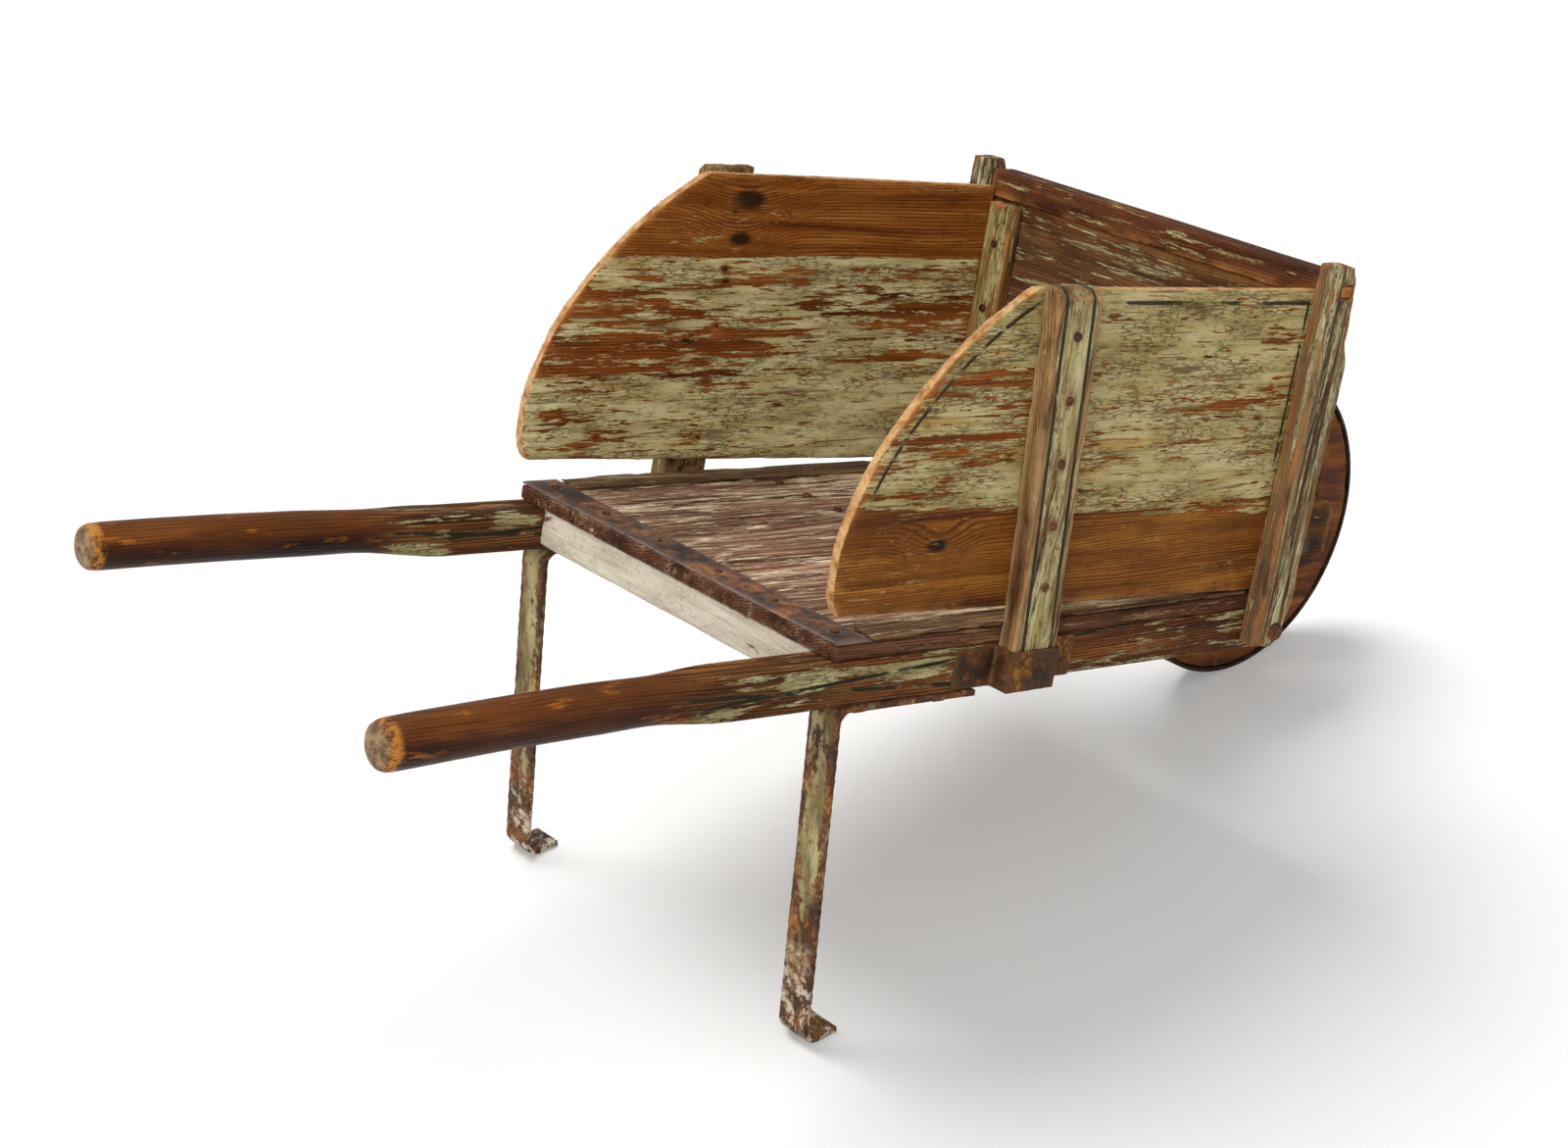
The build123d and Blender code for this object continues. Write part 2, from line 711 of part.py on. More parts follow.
leg_half = leg_thickness / 2
leg_centre = bed_half_width - leg_inset
leg_seat = -rail_depth - leg_half
leg_path = FilletPolyline(
    from_ground(foot_length - heel_back, leg_half),
    from_ground(leg_half - heel_back, leg_half),
    (leg_top + leg_half, 0, leg_seat),
    (leg_flange_front, 0, leg_seat),
    radius=leg_bend_radius,
)
leg_plane = Plane(origin=leg_path @ 0, x_dir=(0, 1, 0), z_dir=leg_path % 0)
leg = Pos(0, leg_centre, 0) * sweep(leg_plane * Rectangle(leg_width, leg_thickness), path=leg_path)
leg_face = leg_seat - leg_half
screw_spots = [leg_top + leg_bend_radius * 2 + 14, leg_flange_front - 40]


def leg_screw(x):
    shank = rod((x, leg_centre, leg_face), (0, 0, 1), screw_length, bolt_radius)
    half = screw_head_width / 2
    head = block(x - half, x + half, leg_centre - half, leg_centre + half, leg_face - screw_head_height, leg_face)
    return shank + head


def screw_hole(x):
    return rod((x, leg_centre, leg_face - 1), (0, 0, 1), screw_length + 2, bolt_radius + nail_clearance)


screws = []
for x in screw_spots:
    screws += [leg_screw(x), swap(leg_screw(x))]
    leg = leg - screw_hole(x)
    rails["left"] = rails["left"] - screw_hole(x)
    rails["right"] = rails["right"] - swap(screw_hole(x))
nodes["left_leg"] = leg
nodes["right_leg"] = swap(leg)
nodes["leg_screws"] = group(screws)
nodes["left_rail"] = rails["left"]
nodes["right_rail"] = rails["right"]

# Pitch the bed, centre the whole and stand it on the ground
def stand(shape):
    return Pos(0, 0, rear_height) * Rot(0, bed_pitch, 0) * shape


standing = {name: stand(shape) for name, shape in nodes.items()}
x_min = min(shape.bounding_box().min.X for shape in standing.values())
x_max = axle_forward * cos(pitch) + axle_above_rail * sin(pitch) + wheel_radius
centre_x = (x_min + x_max) / 2
for name, shape in standing.items():
    placed = Pos(-centre_x, 0, 0) * shape
    export_step(placed, f"parts/{name}.step")
    box = placed.bounding_box()
    print(name, len(placed.solids()), round(box.min.Z, 2), round(box.max.Z, 2))
print("centre offset", round(centre_x, 2), "rear height", round(rear_height, 2))
axle_x = axle_forward * cos(pitch) + axle_above_rail * sin(pitch) - centre_x
print("axle", round(axle_x, 3), round(wheel_radius, 3))
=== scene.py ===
import math
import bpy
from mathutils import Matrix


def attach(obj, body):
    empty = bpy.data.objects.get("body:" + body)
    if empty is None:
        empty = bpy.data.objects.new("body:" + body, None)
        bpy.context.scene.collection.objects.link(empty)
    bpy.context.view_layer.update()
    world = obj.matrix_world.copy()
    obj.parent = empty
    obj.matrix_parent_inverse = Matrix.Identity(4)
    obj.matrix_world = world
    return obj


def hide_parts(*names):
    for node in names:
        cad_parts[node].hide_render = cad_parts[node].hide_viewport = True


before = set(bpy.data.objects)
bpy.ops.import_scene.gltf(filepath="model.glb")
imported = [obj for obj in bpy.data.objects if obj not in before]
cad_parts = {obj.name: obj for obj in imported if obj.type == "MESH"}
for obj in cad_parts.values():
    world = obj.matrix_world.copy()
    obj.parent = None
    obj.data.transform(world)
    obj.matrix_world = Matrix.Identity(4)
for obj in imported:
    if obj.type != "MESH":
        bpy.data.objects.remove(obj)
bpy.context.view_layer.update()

from types import SimpleNamespace

import bmesh
import bpy
import numpy as np
from mathutils import Matrix, Vector, kdtree

print("frame loaded", len(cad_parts), "nodes")

# The bed slopes down to the wheel. Bed coordinates are metres along the rails (u),
# across (v) and square to the boards (w), from the rear edge of the rail tops.
stance = {"pitch": 15.0, "rearEdgeX": -0.29903, "rearEdgeZ": 0.45255}
pitch = math.radians(stance["pitch"])
bedOrigin = Vector((stance["rearEdgeX"], 0, stance["rearEdgeZ"]))
toBed = Matrix.Rotation(-pitch, 4, "Y") @ Matrix.Translation(-bedOrigin)
fromBed = toBed.inverted()
grainAxes = {"u": (0, 1, 2), "v": (1, 0, 2), "w": (2, 0, 1)}  # along the grain, then across it

# Sawn and forged pieces are copied in bed coordinates on an even grid, then worn.
# The waves are per metre, along and across the grain; the reaches are metres from an edge.
wear = {
    "wave": (5, 13, 13), "ridge": (9, 190, 190), "ragged": (40, 110, 110), "bite": (14, 40, 40),
    "biteFrom": 0.56, "biteTo": 0.72, "nearReach": 0.0035, "wideReach": 0.009,
    "markReach": 0.006, "stripeReach": 0.06, "rimFacing": 0.6,
    "sharpAngle": math.radians(32), "edgeSpacing": 0.003, "weld": 1e-5,
}
hashPrimes = (73856093, 19349663, 83492791)  # any large primes scatter the values


def lattice(points, seed):
    # smooth random values between whole coordinates, the same on every run
    cell = np.floor(points).astype(np.int64)
    part = points - cell
    part = part * part * (3 - 2 * part)
    total = np.zeros(len(points))
    for corner in range(8):
        side = np.array([corner & 1, corner >> 1 & 1, corner >> 2 & 1])
        key = (cell + side) % 65536 * hashPrimes
        mixed = key[:, 0] ^ key[:, 1] ^ key[:, 2] ^ seed * 2654435
        mixed = (mixed ^ (mixed >> 13)) * 1274126177 & 0xFFFFFFFF
        value = ((mixed ^ (mixed >> 16)) & 0xFFFF) / 65535
        total += value * np.prod(np.where(side, part, 1 - part), axis=1)
    return total


def layered(points, seed, layers=3):
    # each layer is half as large and half as strong as the one before it
    total, size, gain = np.zeros(len(points)), 0.0, 1.0
    for layer in range(layers):
        total += gain * lattice(points * 2 ** layer + layer * 17.3, seed + layer)
        size += gain
        gain *= 0.5
    return total / size


def sharpEdgeTree(mesh):
    # points along the sawn edges, to measure how far each spot is from one
    work = bmesh.new()
    work.from_mesh(mesh)
    bmesh.ops.remove_doubles(work, verts=work.verts, dist=wear["weld"])
    points = []
    for edge in work.edges:
        if len(edge.link_faces) == 2 and edge.calc_face_angle(0) > wear["sharpAngle"]:
            a, b = edge.verts[0].co, edge.verts[1].co
            count = max(1, int((b - a).length / wear["edgeSpacing"]))
            points += [a.lerp(b, i / count) for i in range(count + 1)]
    work.free()
    tree = kdtree.KDTree(max(1, len(points)))
    for index, point in enumerate(points):
        tree.insert(point, index)
    tree.balance()
    return tree if points else None


def evenGrid(name, mesh, shape):
    draft = bpy.data.objects.new(name + "_draft", mesh)
    bpy.context.scene.collection.objects.link(draft)
    grid = draft.modifiers.new("grid", "REMESH")
    grid.mode = "VOXEL"
    grid.voxel_size = shape["grid"] / 1000
    if "ease" in shape:
        ease = draft.modifiers.new("ease", "SMOOTH")
        ease.factor = 0.5
        ease.iterations = shape["ease"]
    done = bpy.data.meshes.new_from_object(draft.evaluated_get(bpy.context.evaluated_depsgraph_get()))
    bpy.data.objects.remove(draft)
    return done


def readVectors(items, field, count):
    values = np.empty(count * 3, dtype=np.float32)
    items.foreach_get(field, values)
    return values.reshape(-1, 3).astype(float)


def wearDepth(spots, away, shape):
    # millimetres out from the sawn face: slow waves and grain ridges, less a rounded, bitten edge
    seed = shape["seed"]
    run = spots[:, grainAxes[shape["grain"]]]
    wave = layered(run * wear["wave"] + seed, seed) - 0.5
    ridge = layered(run * wear["ridge"] + seed, seed + 5, 2) - 0.5
    ragged = layered(run * wear["ragged"] + seed, seed + 9)
    bite = layered(run * wear["bite"] + seed, seed + 13) - wear["biteFrom"]
    bite = np.clip(bite / (wear["biteTo"] - wear["biteFrom"]), 0, 1)
    near = np.exp(-away / wear["nearReach"])
    wide = np.exp(-away / wear["wideReach"])
    depth = wave * shape["wave"] * 2 + ridge * shape["ridge"]
    depth -= near * shape["round"] * (0.35 + ragged) + wide * bite * shape["bite"]
    if "swell" in shape:
        begin, full, gain = shape["swell"]
        depth += gain * np.clip((spots[:, 0] - begin) / (full - begin), 0, 1)
    return depth


def wornCopy(node, body, material, shape):
    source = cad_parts[node]
    mesh = source.data.copy()
    mesh.transform(toBed @ source.matrix_world)
    edges = sharpEdgeTree(mesh)
    done = evenGrid(node, mesh, shape)
    count = len(done.vertices)
    spots = readVectors(done.vertices, "co", count)
    facing = readVectors(done.vertex_normals, "vector", count)
    away = np.array([edges.find(spot)[2] for spot in spots]) if edges else np.full(count, 1.0)
    spots += facing * (wearDepth(spots, away, shape) / 1000)[:, None]
    done.vertices.foreach_set("co", spots.ravel())
    marks = {
        "edgeWear": np.exp(-away / wear["markReach"]),  # 1 at a sawn edge, where hands rub
        "edgeOff": np.minimum(away, wear["stripeReach"]),  # metres from an edge, for the pinstripe
        "rimFace": np.abs(facing[:, 1]) < wear["rimFacing"],  # 1 on the sawn rim of a board
    }
    for name, values in marks.items():
        mark = done.attributes.new(name, "FLOAT", "POINT")
        mark.data.foreach_set("value", values.astype(np.float32))
    done.transform(fromBed)
    done.update()
    done.shade_smooth()
    done.materials.clear()
    done.materials.append(material)
    piece = bpy.data.objects.new(node + "_worn", done)
    bpy.context.scene.collection.objects.link(piece)
    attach(piece, body)
    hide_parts(node)


def linear(hexColour):
    value = hexColour.lstrip("#")
    rgb = [int(value[i:i + 2], 16) / 255 for i in (0, 2, 4)]
    return tuple(c / 12.92 if c <= 0.04045 else ((c + 0.055) / 1.055) ** 2.4 for c in rgb) + (1.0,)


# the second word of a kind, as in "Math MULTIPLY", is this setting of the node
modeSetting = {"Math": "operation", "VectorMath": "operation", "Mix": "blend_type",
               "MapRange": "interpolation_type", "TexVoronoi": "feature"}


def add(tree, kind, *inputs, into=None, stops=(), **settings):
    # inputs fill the shown sockets in order, into names its sockets, stops are a colour ramp's;
    # a node given as an input stands for its first shown output, and a Mix blends colours
    kind, _, mode = kind.partition(" ")
    made = tree.nodes.new("ShaderNode" + kind)
    if kind == "Mix":
        settings = {"data_type": "RGBA", **settings}
    if mode:
        settings[modeSetting[kind]] = mode
    for key, value in settings.items():
        setattr(made, key, value)
    shown = [socket for socket in made.inputs if socket.enabled]
    named = [(made.inputs[key], value) for key, value in (into or {}).items()]
    for socket, value in [*zip(shown, inputs), *named]:
        if isinstance(value, bpy.types.Node):
            value = next(output for output in value.outputs if output.enabled)
        if isinstance(value, bpy.types.NodeSocket):
            tree.links.new(value, socket)
        else:
            socket.default_value = linear(value) if isinstance(value, str) else value
    marks = made.color_ramp.elements if stops else ()
    while len(marks) < len(stops):
        marks.new(0.5)
    for mark, (place, colour) in zip(marks, stops):
        mark.position = place
        mark.color = linear(colour) if isinstance(colour, str) else (colour, colour, colour, 1)
    return made


def newMaterial(name):
    material = bpy.data.materials.new(name)
    material.use_nodes = True
    tree = material.node_tree
    tree.nodes.clear()
    return material, tree


def finishMaterial(tree, inputs):
    # constants go straight on the shader's sockets, and patterns are linked to them
    shader = add(tree, "BsdfPrincipled", into=inputs)
    add(tree, "OutputMaterial", into={"Surface": shader})


def bedSpace(tree):
    # bed coordinates of the point that is shaded, whole and as u, v and w
    place = add(tree, "TexCoord").outputs["Object"]
    bed = add(tree, "Mapping", place, toBed.translation, (0, -pitch, 0))
    return bed, add(tree, "SeparateXYZ", bed).outputs


def grainSpace(work, lengthMm, widthMm, seed=0.0):
    # coordinates with one unit to that length along the grain and that width across it
    shift = work.shift + seed
    along, across, rise = (work.parts[axis] for axis in grainAxes[work.grain])
    run = add(work.tree, "Math MULTIPLY_ADD", along, 1000 / lengthMm, shift)
    side = add(work.tree, "Math MULTIPLY_ADD", across, 1000 / widthMm, shift * 1.7)
    climb = add(work.tree, "Math MULTIPLY_ADD", rise, 1000 / widthMm, shift * 2.3)
    return add(work.tree, "CombineXYZ", run, side, climb)


def streaked(work, lengthMm, widthMm, detail, rough=0.6, seed=0.0, bend=0.0):
    # a pattern drawn out along the grain, in streaks of that length and width
    place = grainSpace(work, lengthMm, widthMm, seed)
    return add(work.tree, "TexNoise", into={
        "Vector": place, "Scale": 1.0, "Detail": detail, "Roughness": rough, "Distortion": bend})


def speckled(work, sizeMm, detail, rough, seed=0.0):
    # an even pattern of spots of that size
    place = add(work.tree, "VectorMath MULTIPLY_ADD", work.bed, (1000 / sizeMm,) * 3, (seed,) * 3)
    return add(work.tree, "TexNoise", into={
        "Vector": place, "Scale": 1.0, "Detail": detail, "Roughness": rough, "Distortion": 0.0})


def swayed(tree, base, pattern, gain):
    # base moved up and down by a pattern that lies around a half
    return add(tree, "Math MULTIPLY_ADD", add(tree, "Math SUBTRACT", pattern, 0.5), gain, base)


# what every board and rail starts from; sizes are millimetres, depths and amounts run from 0 to 1
timberLook = {
    # Pine rings are about 2 mm apart. They are drawn at twice that, since finer ones don't show.
    "shift": 0.0, "grainMm": 3.9, "ringDepth": 0.85, "knots": [], "red": 0.6,
    "grime": 0.5, "soot": "#24150b", "rub": 0.7, "rubbed": "#a8703a",
    "streak": (125, 10), "streakGain": 2.6, "blotGain": 1.5, "fleck": 1.2, "nick": 0.62,
    "bareSpots": [], "edgeLoss": 0.45, "cell": (23.8, 3.7), "crack": 0.72, "stain": 0.55,
    "dirt": 0.55, "stripes": [], "ghost": 0.0, "rim": 0.0, "sides": False, "grit": 0.45,
    "roughLow": 0.62, "roughHigh": 0.85, "handle": None, "bump": 0.5, "gloss": 0.10,
}
strippedPine = [(0.38, "#4a2009"), (0.52, "#7c3e14"), (0.64, "#9a5622")]  # wood that paint has reddened


def growthRings(work):
    # fine dark lines along the grain, swept round the knots
    tree, parts, look = work.tree, work.parts, work.look
    along, across, rise = (parts[axis] for axis in grainAxes[work.grain])
    work.broad = streaked(work, 455, 23.8, 5, 0.55, 0, 0.4)  # heart and sap wood, about an inch apart
    work.strand = streaked(work, 125, look["grainMm"], 3)
    work.hair = streaked(work, 29.4, look["grainMm"] / 2.8, 2, 0.7)  # pores, between the rings
    sweep = add(tree, "Math MULTIPLY", streaked(work, 769, 111, 2, 0.5, 31), 12.0)
    ring = add(tree, "Math MULTIPLY_ADD", across, 0.35, rise)
    ring = add(tree, "Math MULTIPLY_ADD", ring, 1000 / look["grainMm"], sweep)
    ring = add(tree, "Math MULTIPLY_ADD", work.strand, 0.35, add(tree, "Math ADD", work.broad, ring))
    work.knot = None
    for knotRun, knotRise, size in look["knots"]:
        reach = add(tree, "Math MULTIPLY", add(tree, "Math SUBTRACT", along, knotRun), 0.5)
        climb = add(tree, "Math SUBTRACT", parts[1 if work.grain == "w" else 2], knotRise)
        far = add(tree, "VectorMath LENGTH", add(tree, "CombineXYZ", reach, climb))
        spot = swayed(tree, far, work.broad, size * 1.1)
        spot = add(tree, "MapRange SMOOTHSTEP", spot, size * 1.25, size * 0.55)
        bulge = add(tree, "MapRange SMOOTHSTEP", far, size * 5, 0.0)
        ring = add(tree, "Math MULTIPLY_ADD", bulge, 4.0, ring)
        work.knot = spot if work.knot is None else add(tree, "Math MAXIMUM", work.knot, spot)
    wave = add(tree, "Math SINE", add(tree, "Math MULTIPLY", ring, 2 * math.pi))
    clear = add(tree, "MapRange SMOOTHSTEP", work.strand, 0.36, 0.56)
    work.ring = add(tree, "Math MULTIPLY", add(tree, "MapRange SMOOTHSTEP", wave, -0.1, 0.95), clear)
    fibres = add(tree, "Math MULTIPLY", work.strand, 0.3)
    work.fibres = add(tree, "Math MULTIPLY_ADD", work.broad, 0.7, fibres)


def paintLeft(work):
    # how much of the paint is left: one number, or stops from low to high across the board
    tree, parts, cover = work.tree, work.parts, work.look["cover"]
    if not isinstance(cover, dict):
        return cover
    place = parts[cover["axis"]]
    if "tilt" in cover:
        place = add(tree, "Math MULTIPLY_ADD", parts[cover.get("along", 0)], cover["tilt"], place)
    if "stray" in cover:
        place = swayed(tree, place, streaked(work, 200, 33.3, 3, 0.5, 41), cover["stray"])
    place = add(tree, "MapRange", place, cover["low"], cover["high"])
    halved = add(tree, "ValToRGB", place, stops=[(at, level / 2) for at, level in cover["stops"]])
    return add(tree, "Math MULTIPLY", halved, 2.0)


def bareWood(work):
    # sawn wood, browned by weather, sooty in its hollows and rubbed pale at its edges
    tree, look = work.tree, work.look
    dark, middle, light, bright = look["wood"]
    wood = add(tree, "ValToRGB", work.fibres, stops=[
        (0.36, dark), (0.45, middle), (0.55, light), (0.66, bright)])
    if isinstance(look["cover"], dict):
        stripped = add(tree, "MapRange SMOOTHSTEP", work.left, 0.25, 0.5)
        reddened = add(tree, "ValToRGB", work.fibres, stops=strippedPine)
        wood = add(tree, "Mix", add(tree, "Math MULTIPLY", stripped, look["red"]), wood, reddened)
    wood = add(tree, "Mix", add(tree, "Math MULTIPLY", work.ring, look["ringDepth"]), wood, dark)
    pores = add(tree, "MapRange SMOOTHSTEP", work.hair, 0.40, 0.72, 0.0, 0.35)
    wood = add(tree, "Mix MULTIPLY", pores, wood, dark)
    if work.knot is not None:
        wood = add(tree, "Mix", add(tree, "Math MULTIPLY", work.knot, 0.92), wood, "#1a0d06")
    grime = streaked(work, 111, 38.5, 5, 0.62, 4)
    sooty = add(tree, "MapRange SMOOTHSTEP", grime, 0.50, 0.70, 0.0, look["grime"])
    wood = add(tree, "Mix", sooty, wood, look["soot"])
    rubbed = add(tree, "MapRange SMOOTHSTEP", grime, 0.62, 0.42)
    rubbed = add(tree, "Math MULTIPLY", add(tree, "Math MULTIPLY", work.edge, rubbed), look["rub"])
    return add(tree, "Mix", rubbed, wood, look["rubbed"])


def paintRoom(work):
    # above 0 where the paint has held: it is lost in streaks, blots, flecks and nicks, and at edges
    tree, parts, look = work.tree, work.parts, work.look
    work.flecks = streaked(work, 33.3, 2.94, 4, 0.7, 2)  # flakes a ring or two wide
    nicks = streaked(work, 41.7, 4.76, 3, 0.6, 27)  # knocks about 5 mm wide
    loss = swayed(tree, 0.5, streaked(work, *look["streak"], 8, 0.68, 8, 0.25), look["streakGain"])
    loss = swayed(tree, loss, streaked(work, 385, 100, 3, 0.5, 15), look["blotGain"])
    loss = swayed(tree, loss, work.flecks, look["fleck"])
    nicked = add(tree, "MapRange SMOOTHSTEP", nicks, 0.57, 0.66)
    loss = add(tree, "Math MULTIPLY_ADD", nicked, look["nick"], loss)
    left = work.left
    for spotRun, spotRise, halfLength, halfWidth, strength in look["bareSpots"]:
        reach = add(tree, "Math MULTIPLY", add(tree, "Math SUBTRACT", parts[0], spotRun), 1 / halfLength)
        climb = add(tree, "Math MULTIPLY", add(tree, "Math SUBTRACT", parts[2], spotRise), 1 / halfWidth)
        far = add(tree, "VectorMath LENGTH", add(tree, "CombineXYZ", reach, climb))
        spot = add(tree, "MapRange SMOOTHSTEP", far, 1.1, 0.4)
        left = add(tree, "Math MULTIPLY_ADD", spot, -strength, left)
    room = add(tree, "Math SUBTRACT", left, loss)
    room = add(tree, "Math MULTIPLY_ADD", work.edge, -look["edgeLoss"], room)
    if work.knot is not None:
        room = add(tree, "Math MULTIPLY_ADD", work.knot, -0.35, room)
    return room


def crazing(work):
    # brushed oil paint dries into long cells along the grain, and splits over the soft rings
    tree, look = work.tree, work.look
    cells = grainSpace(work, *look["cell"])
    swirl = add(tree, "TexNoise", into={"Vector": cells, "Scale": 0.9, "Detail": 3.0}).outputs["Color"]
    cells = add(tree, "VectorMath MULTIPLY_ADD", swirl, (1.6, 1.6, 1.6), cells)
    crackle = add(tree, "TexVoronoi DISTANCE_TO_EDGE", into={"Vector": cells, "Scale": 1.0})
    where = add(tree, "MapRange SMOOTHSTEP", streaked(work, 111, 33.3, 4, 0.6, 51), 0.42, 0.56)
    crazed = add(tree, "Math MULTIPLY", add(tree, "MapRange SMOOTHSTEP", crackle, 0.12, 0.03), where)
    where = add(tree, "MapRange SMOOTHSTEP", streaked(work, 71.4, 20, 4, 0.6, 61), 0.42, 0.52)
    slit = add(tree, "MapRange SMOOTHSTEP", work.strand, 0.57, 0.64)
    slit = add(tree, "Math MULTIPLY", slit, where)
    return add(tree, "Math MULTIPLY", add(tree, "Math MAXIMUM", crazed, slit), look["crack"])


def paintColour(work):
    # brushed oil paint, chalky in its streaks, stained yellow and dirtied brown by use
    tree, look = work.tree, work.look
    pale, middle, dull = look["paint"]
    paint = add(tree, "ValToRGB", streaked(work, 111, 16.67, 6, 0.68, 11), stops=[
        (0.30, dull), (0.47, middle), (0.60, pale)])  # a brush stroke is about 17 mm wide
    paint = add(tree, "Mix", add(tree, "Math MULTIPLY", work.ring, 0.22), paint, dull)
    stained = streaked(work, 200, 29.4, 5, 0.6, 21)
    stained = add(tree, "MapRange SMOOTHSTEP", stained, 0.585, 0.68, 0.0, look["stain"])
    paint = add(tree, "Mix", stained, paint, "#94691f")
    dirty = streaked(work, 38.5, 9.09, 6, 0.7, 71)
    dirty = add(tree, "MapRange SMOOTHSTEP", dirty, 0.56, 0.68, 0.0, look["dirt"])
    paint = add(tree, "Mix", dirty, paint, "#4f3a1c")
    thin = add(tree, "MapRange SMOOTHSTEP", work.room, 0.16, 0.0, 0.0, 0.4)
    return add(tree, "Mix", thin, paint, dull)


# where a stripe may be told to end: its name, the axis, and where it fades in and is whole
stripeEnds = (("above", 2, 0.0, 0.02), ("outside", 1, 0.004, 0.0), ("past", 0, 0.0, 0.02))


def pinstripe(work, stripe):
    # a thin line of dark green, painted by hand along an edge or on a face, and half worn off
    tree, parts = work.tree, work.parts
    if "axis" in stripe:
        line = parts[stripe["axis"]]
    else:
        line = add(tree, "Attribute", attribute_name="edgeOff").outputs["Fac"]
    if "tilt" in stripe:
        line = add(tree, "Math MULTIPLY_ADD", parts[stripe["along"]], stripe["tilt"], line)
    off = add(tree, "Math ABSOLUTE", add(tree, "Math SUBTRACT", line, stripe["at"]))
    off = swayed(tree, off, work.flecks, 0.003)
    band = add(tree, "MapRange SMOOTHSTEP", off, stripe["half"], stripe["half"] * 0.55)
    for key, axis, begin, full in stripeEnds:
        if key in stripe:
            inside = add(tree, "MapRange SMOOTHSTEP", parts[axis], stripe[key] + begin, stripe[key] + full)
            band = add(tree, "Math MULTIPLY", band, inside)
    kept = streaked(work, 83.3, 25, 5, 0.65, 81)
    kept = add(tree, "MapRange SMOOTHSTEP", kept, stripe["worn"], stripe["worn"] - 0.08)
    return add(tree, "Math MULTIPLY", band, kept)


def handledRim(work, surface):
    # the sawn edge of a board, handled until it is pale and waxy
    tree, look = work.tree, work.look
    rim = add(tree, "Attribute", attribute_name="rimFace").outputs["Fac"]
    worn = add(tree, "ValToRGB", speckled(work, 16.67, 6, 0.68), stops=[
        (0.32, "#6d4420"), (0.44, "#9c7042"), (0.54, "#b08a5e"), (0.62, "#b8956a"), (0.72, "#a86c2c")])
    work.coat = add(tree, "Math MULTIPLY", work.coat, add(tree, "Math SUBTRACT", 1.0, rim))
    return add(tree, "Mix", add(tree, "Math MULTIPLY", rim, look["rim"]), surface, worn)


def grip(work, surface, rough):
    # turned ash, dark and polished by hands behind its worked shoulder, with a pale knocked tip; its top is
    # lightened as a painted highlight and its underside darkened as painted shade
    tree, handle = work.tree, work.look["handle"]
    run, _, rise = work.parts
    held = swayed(tree, run, work.broad, 0.10)
    held = add(tree, "MapRange SMOOTHSTEP", held, handle["from"], handle["to"])
    polish = add(tree, "ValToRGB", streaked(work, 200, 33.3, 5, 0.55, -5.1), stops=[
        (0.30, "#150803"), (0.45, "#2e1507"), (0.56, "#45220d"), (0.68, "#6b3c18")])
    ridge = streaked(work, 111, 25, 4, 0.6, 33)
    ridge = add(tree, "Math MULTIPLY_ADD", ridge, 0.016, rise)
    ridge = add(tree, "Math MULTIPLY_ADD", run, -0.002, ridge)
    # painted highlight: the grip is made lighter along its top
    paintedTopLight = add(tree, "MapRange SMOOTHSTEP", ridge, -0.014, 0.010, 0.0, 0.55)
    polish = add(tree, "Mix", paintedTopLight, polish, "#6e3f18")
    # painted shade: the grip is made darker along its underside
    under = add(tree, "MapRange SMOOTHSTEP", ridge, -0.022, -0.044, 0.0, 0.6)
    polish = add(tree, "Mix", under, polish, "#1a0a03")
    chafed = streaked(work, 62.5, 18.2, 5, 0.62, 0.9)
    chafed = add(tree, "MapRange SMOOTHSTEP", chafed, 0.59, 0.70, 0.0, 0.85)
    polish = add(tree, "Mix", chafed, polish, "#9a5c1c")
    polish = add(tree, "Mix", add(tree, "Math MULTIPLY", work.ring, 0.5), polish, "#120803")
    tip = swayed(tree, run, work.grit, 0.006)
    bevel = add(tree, "MapRange SMOOTHSTEP", tip, handle["bevelFrom"], handle["bevelTo"])
    beforeEnd = add(tree, "MapRange SMOOTHSTEP", tip, handle["endTo"], handle["endFrom"])
    bevel = add(tree, "Math MULTIPLY", bevel, beforeEnd)
    knocked = add(tree, "MapRange SMOOTHSTEP", work.grit, 0.40, 0.58, 0.0, 0.8)
    polish = add(tree, "Mix", add(tree, "Math MULTIPLY", bevel, knocked), polish, "#a9702e")
    endGrain = add(tree, "ValToRGB", work.grit, stops=[
        (0.36, "#3a2a1c"), (0.48, "#6b543c"), (0.60, "#8a7050")])
    end = add(tree, "MapRange SMOOTHSTEP", run, handle["faceFrom"], handle["faceTo"])
    polish = add(tree, "Mix", end, polish, endGrain)
    work.coat = add(tree, "Math MULTIPLY", work.coat, add(tree, "Math SUBTRACT", 1.0, held))
    rough = add(tree, "Mix", held, rough, 0.45, data_type="FLOAT")
    return add(tree, "Mix", held, surface, polish), rough


